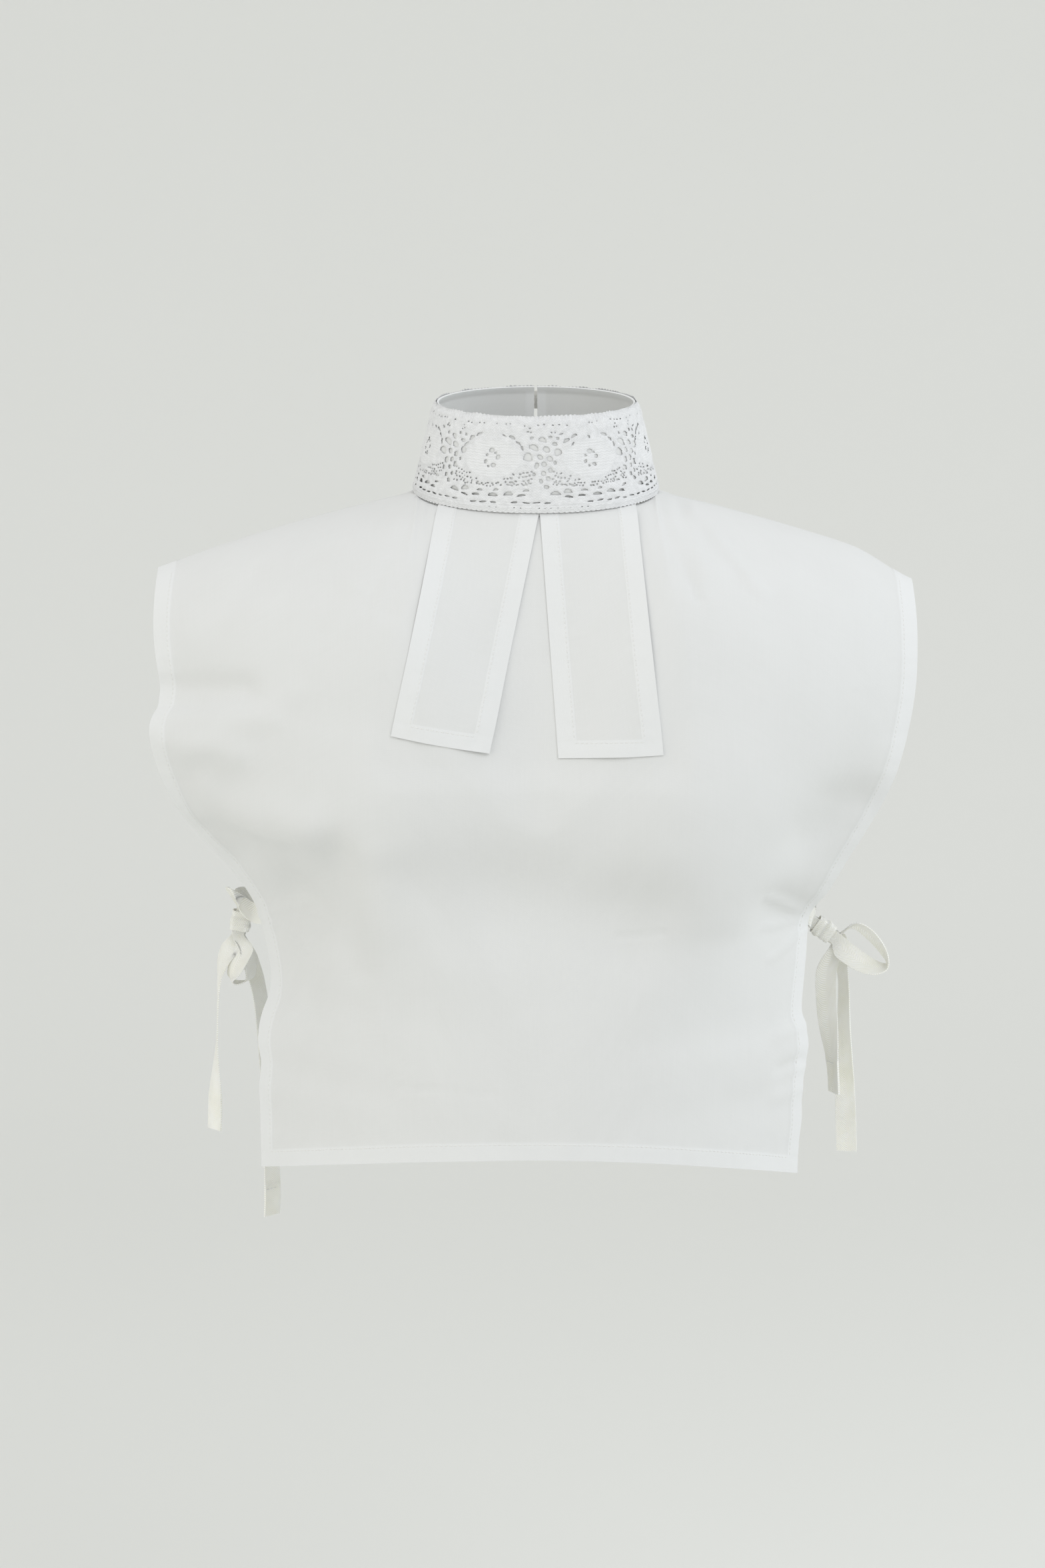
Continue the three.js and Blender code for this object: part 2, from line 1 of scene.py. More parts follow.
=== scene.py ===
import math
import bpy
import numpy as np
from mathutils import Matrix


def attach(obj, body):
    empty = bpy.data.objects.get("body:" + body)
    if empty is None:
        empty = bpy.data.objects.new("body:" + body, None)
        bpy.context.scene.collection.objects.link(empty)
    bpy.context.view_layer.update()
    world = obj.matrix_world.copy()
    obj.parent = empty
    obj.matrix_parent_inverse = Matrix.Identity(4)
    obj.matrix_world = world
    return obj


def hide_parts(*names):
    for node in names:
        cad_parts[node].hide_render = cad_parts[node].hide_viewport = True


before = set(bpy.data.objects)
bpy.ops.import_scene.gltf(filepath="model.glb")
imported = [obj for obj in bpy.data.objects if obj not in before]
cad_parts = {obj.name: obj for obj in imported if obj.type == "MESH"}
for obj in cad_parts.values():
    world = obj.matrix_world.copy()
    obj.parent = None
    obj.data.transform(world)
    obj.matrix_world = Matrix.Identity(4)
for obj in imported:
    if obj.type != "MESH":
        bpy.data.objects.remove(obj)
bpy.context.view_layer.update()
print("model loaded")

# Sizes are in millimetres up to the moment a mesh is written: +Z up, the front towards -Y.
mm = 0.001


def smoothStep(low, high, value):
    share = np.clip((value - low) / (high - low), 0, 1)
    return share * share * (3 - 2 * share)


def bell(value, middle, width):
    return np.exp(-((value - middle) / width) ** 2)


def betweenFour(grid, i, j, nextI, nextJ, a, b):
    # a value between four neighbours of a grid, a along its rows and b down them
    top = grid[j, i] * (1 - a) + grid[j, nextI] * a
    low = grid[nextJ, i] * (1 - a) + grid[nextJ, nextI] * a
    return top * (1 - b) + low * b


def softNoise(x, y, size, seed, cells=64):
    # smooth random humps between -1 and 1, about one for each size
    table = np.random.default_rng(seed).uniform(-1, 1, (cells, cells))
    px, py = np.asarray(x) / size + 31.7, np.asarray(y) / size + 17.3
    i, j = np.floor(px).astype(int), np.floor(py).astype(int)
    a, b = (part * part * (3 - 2 * part) for part in (px - i, py - j))
    return betweenFour(table.T, i % cells, j % cells, (i + 1) % cells, (j + 1) % cells, a, b)


def humps(x, y, waves, seed):
    # layers of soft noise: a height and a size for each
    return sum(height * softNoise(x, y, size, seed + k) for k, (height, size) in enumerate(waves))


def namedRows(columns, rows):
    return [dict(zip(columns, row)) for row in rows]


def smoothLine(values, i, s):
    # from the second to the third of four values in a row, the first of them at i
    a, b, c, d = (values[i + k] for k in range(4))
    bend = (2 * a - 5 * b + 4 * c - d) * s ** 2 + (3 * b - a - 3 * c + d) * s ** 3
    return b + ((c - a) * s + bend) / 2


def throughPoints(points, v):
    # a smooth line through evenly spaced points, for v from 0 to 1
    points = np.asarray(points, dtype=float)
    points = np.concatenate([[2 * points[0] - points[1]], points, [2 * points[-1] - points[-2]]])
    last = len(points) - 3
    i = np.clip(np.floor(v * last).astype(int), 0, last - 1)
    return smoothLine(points, i, (v * last - i)[..., None])


def tableColumn(table, column, steps=20):
    # a smooth line through one column of a table whose rows fall in z
    heights, values = (np.array([row[name] for row in table]) for name in ("z", column))
    i, step = np.divmod(np.arange(steps * (len(table) - 1) + 1), steps)
    heights = np.interp(i + step / steps, range(len(table)), heights)
    values = smoothLine(np.pad(values, (1, 2), "edge"), i, step / steps)
    return lambda z: np.interp(-z, -heights, values)


def foldHeight(folds, x, z):
    # how far a table of folds moves the cloth out: lines with a half width and a height
    out = np.zeros_like(x)
    for fold in folds:
        dx, dz = fold["x2"] - fold["x1"], fold["z2"] - fold["z1"]
        along = np.clip(((x - fold["x1"]) * dx + (z - fold["z1"]) * dz) / max(dx * dx + dz * dz, 1), 0, 1)
        far = np.hypot(x - fold["x1"] - along * dx, z - fold["z1"] - along * dz) / fold["width"]
        out += fold["out"] * bell(far, 0, 1)
    return out


# the collar's tube, which the neck edges of all the cloth follow
collar = {
    "baseHalfWidth": 70.5, "baseHalfDepth": 62.5, "baseHeight": -3.5, "baseTilt": 0.145,
    "topHalfWidth": 58.0, "topHalfDepth": 53.5, "topHeight": 48.5, "topTilt": 0.105,
    "height": 52.0,
}


def collarPoint(angle, share, offset):
    c = collar
    halfWidth = c["baseHalfWidth"] + (c["topHalfWidth"] - c["baseHalfWidth"]) * share + offset
    halfDepth = c["baseHalfDepth"] + (c["topHalfDepth"] - c["baseHalfDepth"]) * share + offset
    y = -halfDepth * np.cos(angle)
    base = c["baseHeight"] + c["baseTilt"] * y
    top = c["topHeight"] + c["topTilt"] * y
    return np.stack([halfWidth * np.sin(angle), y, base + (top - base) * share], -1)


# cloth: a grid laid on a surface, with its relief, its hems and its thickness
laid = {}


def newPiece(name):
    # the primitive that was added last, under its own name
    piece = bpy.context.object
    piece.name = piece.data.name = name
    return piece


def addObject(name, data):
    piece = bpy.data.objects.new(name, data)
    bpy.context.collection.objects.link(piece)
    return piece


def selectOnly(piece):
    bpy.ops.object.select_all(action="DESELECT")
    piece.select_set(True)
    bpy.context.view_layer.objects.active = piece


def addSheet(name, us, vs, place, relief, wall, doubled, opened=None, turned=False, ring=False):
    bpy.ops.object.select_all(action="DESELECT")
    bpy.ops.mesh.primitive_grid_add(x_subdivisions=len(us) - 1, y_subdivisions=len(vs) - 1, size=2)
    piece = newPiece(name)
    mesh = piece.data
    flat = np.empty(len(mesh.vertices) * 3)
    mesh.vertices.foreach_get("co", flat)
    flat = flat.reshape(-1, 3)
    column = np.rint((flat[:, 0] + 1) / 2 * (len(us) - 1)).astype(int)
    row = np.rint((1 - flat[:, 1]) / 2 * (len(vs) - 1)).astype(int)
    u, v = np.meshgrid(us, vs)
    points = place(u, v)
    out = np.cross(np.gradient(points, axis=0), np.gradient(points, axis=1))
    out /= np.maximum(np.linalg.norm(out, axis=-1, keepdims=True), 1e-9)
    if turned:
        out = -out
    points = points + out * relief(u, v, points)[..., None]
    laid[name] = {"us": np.array(us), "vs": np.array(vs), "points": points, "out": out}
    mesh.vertices.foreach_set("co", (points[row, column] * mm).ravel())
    # the cloth's own map, in metres along its threads
    across = np.cumsum(np.linalg.norm(np.diff(points, axis=1, prepend=points[:, :1]), axis=-1), axis=1)
    across -= across[:, len(us) // 2][:, None]
    down = np.cumsum(np.linalg.norm(np.diff(points, axis=0, prepend=points[:1]), axis=-1), axis=0)
    corner = np.empty(len(mesh.loops), dtype=np.int32)
    mesh.loops.foreach_get("vertex_index", corner)
    uv = np.stack([across[row, column], down[row, column]], -1)[corner] * mm
    mesh.uv_layers.active.data.foreach_set("uv", uv.ravel())
    mesh.uv_layers.active.name = "clothMap"
    layers = doubled(u, v)[row, column].astype(float)
    mask = mesh.attributes.new("layers", "FLOAT", "POINT")
    mask.data.foreach_set("value", layers)
    if opened is not None:
        quads = corner.reshape(-1, 4)
        cut = opened(u, v)[row, column][quads].mean(axis=1) < 0
        selectFaces(mesh, cut)
        bpy.ops.mesh.delete(type="FACE")
        bpy.ops.object.mode_set(mode="OBJECT")
    bpy.ops.object.mode_set(mode="EDIT")
    bpy.ops.mesh.select_all(action="SELECT")
    if turned:
        bpy.ops.mesh.flip_normals()
    if ring:
        bpy.ops.mesh.remove_doubles(threshold=0.00002)
    bpy.ops.object.mode_set(mode="OBJECT")
    if wall:
        values = np.empty(len(mesh.vertices), dtype=np.float32)
        mesh.attributes["layers"].data.foreach_get("value", values)
        group = piece.vertex_groups.new(name="hem")
        group.add([int(index) for index in np.nonzero(values > 0.5)[0]], 1.0, "REPLACE")
        thick = piece.modifiers.new("cloth wall", "SOLIDIFY")
        thick.thickness = wall[1] * mm
        thick.offset = 0
        thick.vertex_group = "hem"
        thick.thickness_vertex_group = wall[0] / wall[1]
        bpy.ops.object.modifier_apply(modifier=thick.name)
        piece.vertex_groups.clear()
    bpy.ops.object.shade_smooth_by_angle(angle=math.radians(50))
    return piece


def selectFaces(mesh, chosen):
    bpy.ops.object.mode_set(mode="EDIT")
    bpy.ops.mesh.select_mode(type="FACE")
    bpy.ops.mesh.select_all(action="DESELECT")
    bpy.ops.object.mode_set(mode="OBJECT")
    mesh.polygons.foreach_set("select", np.asarray(chosen, dtype=bool))
    bpy.ops.object.mode_set(mode="EDIT")


def onCloth(name, u, v):
    # points and directions out of a laid sheet, between its grid lines
    sheet = laid[name]
    us, vs = sheet["us"], sheet["vs"]
    i, j = np.interp(u, us, np.arange(len(us))), np.interp(v, vs, np.arange(len(vs)))
    i0, j0 = np.minimum(i.astype(int), len(us) - 2), np.minimum(j.astype(int), len(vs) - 2)
    a, b = (i - i0)[:, None], (j - j0)[:, None]
    return [betweenFour(sheet[grid], i0, j0, i0 + 1, j0 + 1, a, b) for grid in ("points", "out")]


# the two panels
depthColumns = ("z", "middle", "edge", "fullness")
foldColumns = ("x1", "z1", "x2", "z2", "width", "out")
frontPanel = {
    "facing": -1, "edges": ("left", "right"), "tipDroop": (1, 8), "middleHem": -381, "hemDrop": (24, 28),
    "middleRoundness": 1.25, "columns": 176, "rows": 206,
    "depth": namedRows(depthColumns, [
        (0, -126, -48, 2.4),
        (-120, -126, -48, 2.4),
        (-188, -125, -46, 2.5),
        (-226, -125, -29, 2.9),
        (-258, -124, -13, 3.2),
        (-306, -125, -28, 2.7),
        (-345, -127, -38, 2.4),
        (-410, -129, -47, 2.2),
    ]),
    "folds": namedRows(foldColumns, [
        (-96, -178, -88, -196, 46, 11), (96, -178, 90, -196, 46, 11), (-20, -232, 40, -248, 42, -7),
        (-188, -196, -140, -236, 26, -19), (-142, -240, -146, -290, 15, -6), (190, -186, 160, -200, 18, -8),
        (158, -256, 140, -246, 13, -8), (-112, -205, -104, -275, 9, -3), (-222, -118, -168, -112, 9, -5),
        (-226, -142, -176, -150, 11, 4), (-196, -66, -128, -38, 8, -2.4), (-76, -14, -104, -50, 7, 3),
        (-64, -20, -84, -64, 6, -2.4), (80, -14, 98, -44, 7, 3), (86, -12, 116, -46, 5, -2.6),
    ]),
    # small folds and creases that the solid doesn't have
    "creases": namedRows(foldColumns, [
        (-60, -16, -70, -58, 3.2, 1.3), (-70, -12, -96, -62, 3.0, -1.0), (62, -13, 72, -56, 3.2, 1.1),
        (72, -11, 92, -58, 2.6, -1.2), (92, -14, 130, -58, 3.6, 1.2), (-214, -130, -150, -128, 7, 1.5),
        (-222, -127, -196, -124, 4, -1.2), (-205, -152, -140, -112, 8, 1.4), (-192, -170, -150, -196, 7, 1.3),
        (-165, -258, -140, -246, 3.0, 1.2), (-162, -262, -138, -270, 2.6, 1.0),
        (162, -256, 138, -238, 2.4, 1.5), (161, -260, 136, -256, 2.2, 1.3), (160, -266, 140, -276, 2.6, 1.2),
        (-54, -222, 62, -240, 30, -6), (-120, -212, -76, -218, 20, -3), (-80, -300, 80, -308, 56, -4.5),
        (-150, -405, 150, -405, 70, -7), (-188, -182, -132, -190, 15, 7), (-174, -224, -134, -242, 18, -5),
        (-70, -162, 70, -166, 42, 3), (174, -182, 148, -238, 19, -5), (-146, -232, -148, -330, 17, -2),
        (-118, -196, -112, -262, 10, -2.2), (-96, -206, -92, -300, 13, 1.6), (46, -252, 76, -251, 1.3, -0.7),
        (-84, -342, -24, -341, 1.3, -0.6), (160, -320, 146, -322, 4.0, 1.6),
        (160, -340, 148, -342, 4.0, -1.6), (160, -358, 146, -359, 4.5, 1.4),
    ]),
}
backPanel = {
    "facing": 1, "edges": ("back", "back"), "tipDroop": (1, 8), "middleHem": -396, "hemDrop": (4, 4),
    "middleRoundness": 1.5, "columns": 150, "rows": 170, "slit": 0.31,
    "depth": namedRows(depthColumns, [
        (20, 101, 40, 2.4),
        (-120, 101, 40, 2.4),
        (-188, 97, 38, 2.6),
        (-258, 91, 28, 3.0),
        (-306, 90, 31, 2.8),
        (-410, 90, 36, 2.6),
    ]),
    "folds": namedRows(foldColumns, [
        (-80, -100, -84, -130, 40, 8), (80, -100, 84, -130, 40, 8), (0, -150, 0, -230, 36, -4),
    ]),
    "creases": namedRows(foldColumns, [
        (-150, -120, -120, -300, 16, 3), (150, -130, 126, -310, 15, 3), (-60, -180, -50, -330, 13, -2),
        (62, -170, 54, -330, 14, -2), (164, -258, 130, -240, 4, 1.6), (-164, -258, -130, -240, 4, 1.6),
        (-72, -6, -96, -46, 5, 1.6), (72, -6, 96, -46, 5, 1.6),
    ]),
}
panelShape = {
    "halfWidth": 200, "neckShare": 0.4, "rollHeight": 112, "middleRollHeight": 178, "shoulderSlope": 0.29,
    "shoulderCrown": 2.6, "rowPower": 1.5, "spreadEnd": 0.5, "bottomHem": 11, "sideHem": 8.5, "neckDrop": 1.1,
    "seamGap": 0.4, "wall": (0.5, 1.1), "gathers": 0.7,
    # relief in the cloth: heights with the size of each hump, and the place and width of a hem's crease
    "puckers": ((0.30, 4.5), (0.45, 13)), "waves": ((0.75, 46), (0.28, 19)), "crease": (1.3, 0.9),
}
outline = namedRows(("z", "left", "right", "back"), [
    (-40, -222, 221, 221),
    (-62, -227.5, 226, 223),
    (-85, -225.5, 225.5, 221),
    (-112, -220, 223, 216),
    (-124, -221, 221, 213),
    (-137, -226.5, 218.5, 209),
    (-152, -225, 215, 206),
    (-170, -220, 210, 201),
    (-188, -212, 202.5, 196),
    (-209, -198.5, 191.5, 190),
    (-227, -186, 182, 183),
    (-245, -173, 173.5, 175),
    (-260, -166, 164.5, 168),
    (-283, -161.5, 162, 163),
    (-300, -161, 160.7, 159.6),
    (-315, -165.6, 160.5, 158.5),
    (-330, -167.4, 164.2, 158),
    (-344, -166, 163.8, 157.8),
    (-358, -168, 161.8, 157.4),
    (-376, -168.4, 163, 157),
    (-391, -168.5, 161.8, 156.5),
    (-410, -168.5, 161, 156),
])
edgeLine = {name: tableColumn(outline, name) for name in ("left", "right", "back")}
for panel in (frontPanel, backPanel):
    panel["lines"] = {name: tableColumn(panel["depth"], name) for name in ("middle", "edge", "fullness")}


def edgeAt(panel, u, z):
    left, right = panel["edges"]
    return np.abs(np.where(u < 0, edgeLine[left](z), edgeLine[right](z)))


def panelPoint(panel, u, v):
    s, facing = panelShape, panel["facing"]
    width, hand = np.abs(u), np.where(u < 0, -1.0, 1.0)
    turn = np.minimum(width / s["neckShare"], 1) * math.pi / 2
    top = collarPoint(hand * turn if facing < 0 else hand * (math.pi - turn), 0, 0)
    topX, topY, topZ = top[..., 0], top[..., 1], top[..., 2] - s["neckDrop"]
    along = np.clip((width - s["neckShare"]) / (1 - s["neckShare"]), 0, 1)
    tip = edgeAt(panel, u, np.full_like(u, -50.0))
    neckX = collar["baseHalfWidth"]
    shoulderX = neckX + (tip - neckX) * along
    droop = np.where(u < 0, *panel["tipDroop"]) * smoothStep(0.75, 1, along) * along
    crown = s["shoulderCrown"] * np.sin(math.pi * along)
    sloped = s["neckDrop"] + s["shoulderSlope"] * (shoulderX - neckX)
    shoulderZ = collar["baseHeight"] - sloped + crown - droop
    outer = width > s["neckShare"]
    topX = np.where(outer, hand * shoulderX, topX)
    topY = np.where(outer, facing * s["seamGap"] / 2, topY)
    topZ = np.where(outer, shoulderZ, topZ)
    hem = panel["middleHem"] - np.where(u < 0, *panel["hemDrop"]) * width ** 2
    z = topZ + (hem - topZ) * np.abs(v) ** s["rowPower"]
    edge = edgeAt(panel, u, z)
    spread = smoothStep(0, s["spreadEnd"], v)
    x = topX + (u * edge - topX) * spread
    reach = np.minimum(np.abs(x) / edge, 1)
    lines = panel["lines"]
    middle, rim, fullness = lines["middle"](z), lines["edge"](z), lines["fullness"](z)
    hanging = middle + (rim - middle) * reach ** fullness + facing * foldHeight(panel["folds"], x, z)
    toSide = smoothStep(0, math.pi / 2, turn)
    roundness = panel["middleRoundness"] + (2 - panel["middleRoundness"]) * toSide
    rollHeight = s["middleRollHeight"] + (s["rollHeight"] - s["middleRollHeight"]) * toSide
    fallen = np.clip((topZ - z) / rollHeight, 0, 1)
    rolled = (1 - (1 - fallen) ** roundness) ** (1 / roundness)
    return np.stack([x, topY + (hanging - topY) * rolled, z], -1)


def hemShares(panel):
    side = panelShape["sideHem"] / panelShape["halfWidth"]
    bottom = (1 - panelShape["bottomHem"] / abs(panel["middleHem"])) ** (1 / panelShape["rowPower"])
    return side, bottom


def panelLines(panel):
    # grid lines lie close together at the hems' edges, so the step there is crisp
    side, bottom = hemShares(panel)
    step, slitHalf = 0.0012, 0.0045
    hem = list(np.linspace(0, side - step, 5))
    if panel.get("slit"):
        half = np.linspace(slitHalf + 0.004, 1 - side - step, panel["columns"] // 2)
        inner = [-h for h in reversed(half)] + [-slitHalf, slitHalf] + list(half)
    else:
        inner = list(np.linspace(-1 + side + step, 1 - side - step, panel["columns"]))
    us = [-1 + h for h in hem] + inner + [1 - h for h in reversed(hem)]
    vs = list(np.linspace(0, bottom - step, panel["rows"])) + list(np.linspace(bottom + step, 1, 5))
    return np.array(us), np.array(vs)


def addPanel(name, panel, seed):
    us, vs = panelLines(panel)
    side, bottom = hemShares(panel)
    front = panel["facing"] < 0

    def relief(u, v, points):
        x, z = points[..., 0], points[..., 2]
        inSide = (np.abs(u) - 1 + side) * panelShape["halfWidth"]
        inBottom = (v - bottom) * panelShape["rowPower"] * abs(panel["middleHem"])
        along = np.where(inSide > inBottom, z, x)
        near = bell(np.maximum(inSide, inBottom), 1.5, 6.0)
        puckers = humps(along, 0 * along, panelShape["puckers"], seed)
        height = foldHeight(panel["creases"], x, z) + near * puckers
        height -= 0.14 * sum(bell(into, *panelShape["crease"]) for into in (inSide, inBottom))
        height += humps(x, z, panelShape["waves"], seed + 2)
        gathers = np.sin(u * 95 + 2.2 * np.sin(u * 17 + seed)) * smoothStep(0.12, 0.24, np.abs(u))
        neck = bell(v, 0, 0.17) * smoothStep(0, 0.03, v) * (1 - smoothStep(0.42, 0.55, np.abs(u)))
        height += panelShape["gathers"] * neck * gathers
        if front:      # the cloth lies quieter under the bands
            covered = (1 - smoothStep(78, 96, np.abs(x + 4))) * smoothStep(-168, -148, z)
            height *= 1 - 0.75 * covered
        return height * smoothStep(0, 0.02, v)

    def doubled(u, v):
        facing = (np.abs(u) < 0.03) & (v < panel.get("slit", -1) + 0.012)
        return np.maximum.reduce([np.abs(u) > 1 - side, v > bottom, facing]) * 1.0

    def opened(u, v):
        return np.where((np.abs(u) < 0.005) & (v < panel["slit"]), -1.0, 1.0)

    return addSheet(
        name, us, vs, lambda u, v: panelPoint(panel, u, v), relief, panelShape["wall"], doubled,
        opened=opened if panel.get("slit") else None, turned=not front,
    )


frontCloth = addPanel("frontCloth", frontPanel, 11)
backCloth = addPanel("backCloth", backPanel, 41)
print("panels laid out")

# the stand behind the lace
stand = {"rise": 0.1, "fill": 1.5, "endGap": 0.9, "columns": 260, "rows": 28, "wall": (0.9, 1.2)}


def addStand():
    turn = math.pi - stand["endGap"] / collar["topHalfWidth"]
    us = np.linspace(-turn, turn, stand["columns"] + 1)
    vs = np.linspace(1 + stand["rise"] / collar["height"], 0, stand["rows"] + 1)
    return addSheet(
        "collarStand", us, vs, lambda u, v: collarPoint(u, v, 0),
        lambda u, v, points: (
            stand["fill"] * smoothStep(0.145, 0.2, v) * (1 - smoothStep(0.93, 0.985, v))
            + 0.1 * softNoise(u * 64, v * 52, 12, 5)
        ),
        stand["wall"],
        lambda u, v: np.maximum((v > 0.94) * 1.0, (np.abs(u) > turn - 0.08) * 1.0),
    )


collarStand = addStand()
print("stand made")

# the lace: openings in mm along the strip and down from its top edge
lace = {
    "offset": 2.95, "shift": 3, "baseTilt": 0.128, "lift": 0.3, "endGap": 0.9, "repeats": 7, "repeat": 57.6,
    "drop": 54.0, "columns": 770, "rows": 114, "edgeRoll": 0.45, "footing": 50.4, "seed": 17, "perMm": 10,
}
holeColumns = ("s", "t", "w", "h", "turn", "arch", "often")
# the lattice between two flowers, round its middle
latticeHoles = namedRows(holeColumns, [
    (-4.6, 17.2, 6.0, 3.4, 26, 0.4), (0.6, 13.2, 5.0, 2.6, 24, 0.4), (-8.0, 23.0, 5.8, 4.4, 14, 0.4),
    (2.6, 18.2, 4.2, 3.0, 24), (-1.2, 22.4, 3.6, 2.9, 26), (4.3, 23.4, 3.3, 2.8, 26),
    (1.2, 26.8, 2.8, 3.2, 20), (-3.2, 27.6, 2.6, 3.4, 14), (4.4, 29.6, 2.4, 3.2, 16),
    (0.6, 31.8, 2.5, 2.6, 0), (3.2, 34.6, 2.4, 2.6, 24), (-0.8, 36.0, 2.1, 2.5, 0), (1.8, 39.2, 3.0, 2.0, 20),
    (8.9, 20.4, 4.2, 3.6, -24, 0.3), (7.8, 15.4, 3.4, 2.1, 14), (5.4, 11.2, 2.2, 1.7, 0),
    (-5.4, 12.0, 2.0, 1.7, 0), (9.6, 12.0, 1.7, 1.4, 30), (-4.4, 32.2, 1.9, 2.4, -10),
    (7.4, 25.6, 1.6, 2.0, -20),
])
# round the middle of a flower: its ring of eyes, then the slits over its petals
flowerHoles = namedRows(holeColumns, [
    (-0.4, 19.8, 3.0, 2.8, 0), (3.8, 23.4, 2.1, 2.6, 30), (1.7, 27.9, 3.0, 2.4, 20),
    (-3.6, 25.8, 2.0, 2.4, 30), (-3.0, 22.2, 1.6, 1.6, 0), (2.2, 20.8, 1.3, 1.5, 40),
    (-1.4, 28.4, 1.5, 1.4, 0), (-18.0, 17.2, 4.2, 1.5, -44, 0.4, 0.8), (-14.6, 13.4, 5.0, 1.9, -36, 0.5, 0.9),
    (-10.4, 15.2, 2.6, 0.9, -52, 0, 0.6), (-9.6, 10.6, 4.2, 1.5, -20, 0.4, 0.7),
    (-3.6, 10.4, 3.0, 0.9, -10, 0, 0.5), (0.6, 11.4, 1.1, 2.2, -34, 0, 0.6),
    (6.4, 10.8, 3.0, 0.9, 14, 0, 0.5), (11.6, 11.6, 4.2, 1.5, 24, 0.4, 0.8),
    (15.2, 14.6, 3.4, 1.2, 40, 0, 0.8), (17.8, 18.0, 1.2, 3.2, -12, 0, 0.8),
    (-17.0, 9.6, 2.6, 0.9, -22, 0, 0.5), (17.0, 9.8, 2.6, 0.9, 20, 0, 0.5),
])
scallopHoles = namedRows(holeColumns, [
    (-21.4, 43.2, 5.4, 2.1, 8, 0.5), (-14.6, 42.0, 5.2, 2.4, -6, 0.5), (-14.2, 45.6, 4.8, 1.2, 4, 0.5),
    (-7.4, 45.0, 4.4, 1.4, 6, 0.5), (-5.8, 42.0, 3.6, 1.2, 0, 0.4), (1.8, 44.8, 5.4, 1.9, 2, 0.5),
    (3.6, 41.8, 3.4, 1.3, 0, 0.4), (10.4, 43.8, 5.8, 2.1, 0, 0.5), (17.8, 44.6, 4.8, 1.3, -4, 0.5),
    (20.4, 41.8, 3.6, 1.2, -12, 0.4),
])
slotRow = {"t": 48.7, "every": 5.76, "w": 4.0, "h": 0.95, "often": 0.75}
headRow = {"t": 4.2, "every": 2.9, "w": 1.2, "h": 0.8, "often": 0.5, "loose": 0.6}
footRow = {"t": 52.1, "every": 3.2, "w": 0.9, "h": 0.75, "often": 0.85}
# net ground under the petals and round the lattice, from this far off the flower's middle
groundRows = namedRows(("t", "bow", "from"), [
    (31.2, 5.4, 12.0), (33.3, 5.4, 7.0), (35.4, 5.2, 0), (37.4, 4.4, 0), (39.3, 2.4, 9.0), (9.4, -1.0, 21.0),
    (11.4, -1.5, 19.5),
])
ground = {
    "every": 2.0, "size": (1.1, 1.0), "spread": 0.35, "often": 0.82, "loose": 0.42, "edge": 5.5, "up": 2.4,
}


def repeatHoles():
    half = lace["repeat"] / 2
    holes = [dict(hole, s=hole["s"] + half) for hole in latticeHoles]
    holes += flowerHoles + scallopHoles
    for row in (slotRow, headRow, footRow):
        count = round(lace["repeat"] / row["every"])
        for k in range(count):
            holes.append(dict(row, s=-half + (k + 0.5) * lace["repeat"] / count, turn=0))
    for number, row in enumerate(groundRows):
        count = round(lace["repeat"] / ground["every"])
        for k in range(count):
            s = -half + (k + 0.5 * (number % 2)) * lace["repeat"] / count
            if row["from"] <= abs(s) < half - ground["edge"]:
                t = row["t"] + row["bow"] * (1 - (s / half) ** 2) - ground["up"]
                wide, high = ground["size"][0] + ground["spread"] * math.sin(s * 7 + t * 3), ground["size"][1]
                holes.append(dict(ground, s=s, t=t, w=wide, h=high, turn=0))
    return holes


def gapChart():
    # distance to the nearest opening over the strip, below zero inside one, at a number of spots per mm
    rng, fine = np.random.default_rng(lace["seed"]), lace["perMm"]
    width, height = int(lace["repeat"] * lace["repeats"] * fine), int((lace["drop"] + 2) * fine)
    chart = np.full((height + 1, width), 9.0)
    for repeat in range(lace["repeats"]):
        for hole in repeatHoles():
            if rng.random() > hole.get("often", 1):
                continue
            wide, high = hole["w"] * rng.uniform(0.86, 1.12), hole["h"] * rng.uniform(0.86, 1.12)
            loose = hole.get("loose", 0.3)
            s = hole["s"] + (repeat + 0.5) * lace["repeat"] + rng.uniform(-loose, loose)
            t = hole["t"] + rng.uniform(-loose, loose)
            turn = math.radians(hole["turn"] + rng.uniform(-30, 30) * loose)
            reach = int(fine * (max(wide, high) / 2 + 2.5))
            columns = np.arange(int(s * fine) - reach, int(s * fine) + reach + 1)
            rows = np.arange(max(int(t * fine) - reach, 0), min(int(t * fine) + reach, height) + 1)
            ds, dt = np.meshgrid(columns / fine - s, rows / fine - t)
            a = (ds * math.cos(turn) + dt * math.sin(turn)) / (wide / 2)
            b = (dt * math.cos(turn) - ds * math.sin(turn)) / (high / 2)
            b = b + hole.get("arch", 0) * (0.5 - a * a)
            spot = np.ix_(rows, columns % width)
            chart[spot] = np.minimum(chart[spot], (np.hypot(a, b) - 1) * min(wide, high) / 2)
    return chart


chart = gapChart()


def laceGap(s, t):
    # hand work is never quite even, so the pattern wanders a little
    s = s + 0.55 * softNoise(s, t, 15, 71)
    t = t + 0.45 * softNoise(s, t, 21, 72)
    height, width = chart.shape
    i = ((s - lace["shift"] + lace["repeat"] / 2) * lace["perMm"] + width / 2) % width
    j = np.clip(t * lace["perMm"], 0, height - 1.01)
    i0, j0 = i.astype(int) % width, j.astype(int)
    return betweenFour(chart, i0, j0, (i0 + 1) % width, j0 + 1, i - np.floor(i), j - j0)


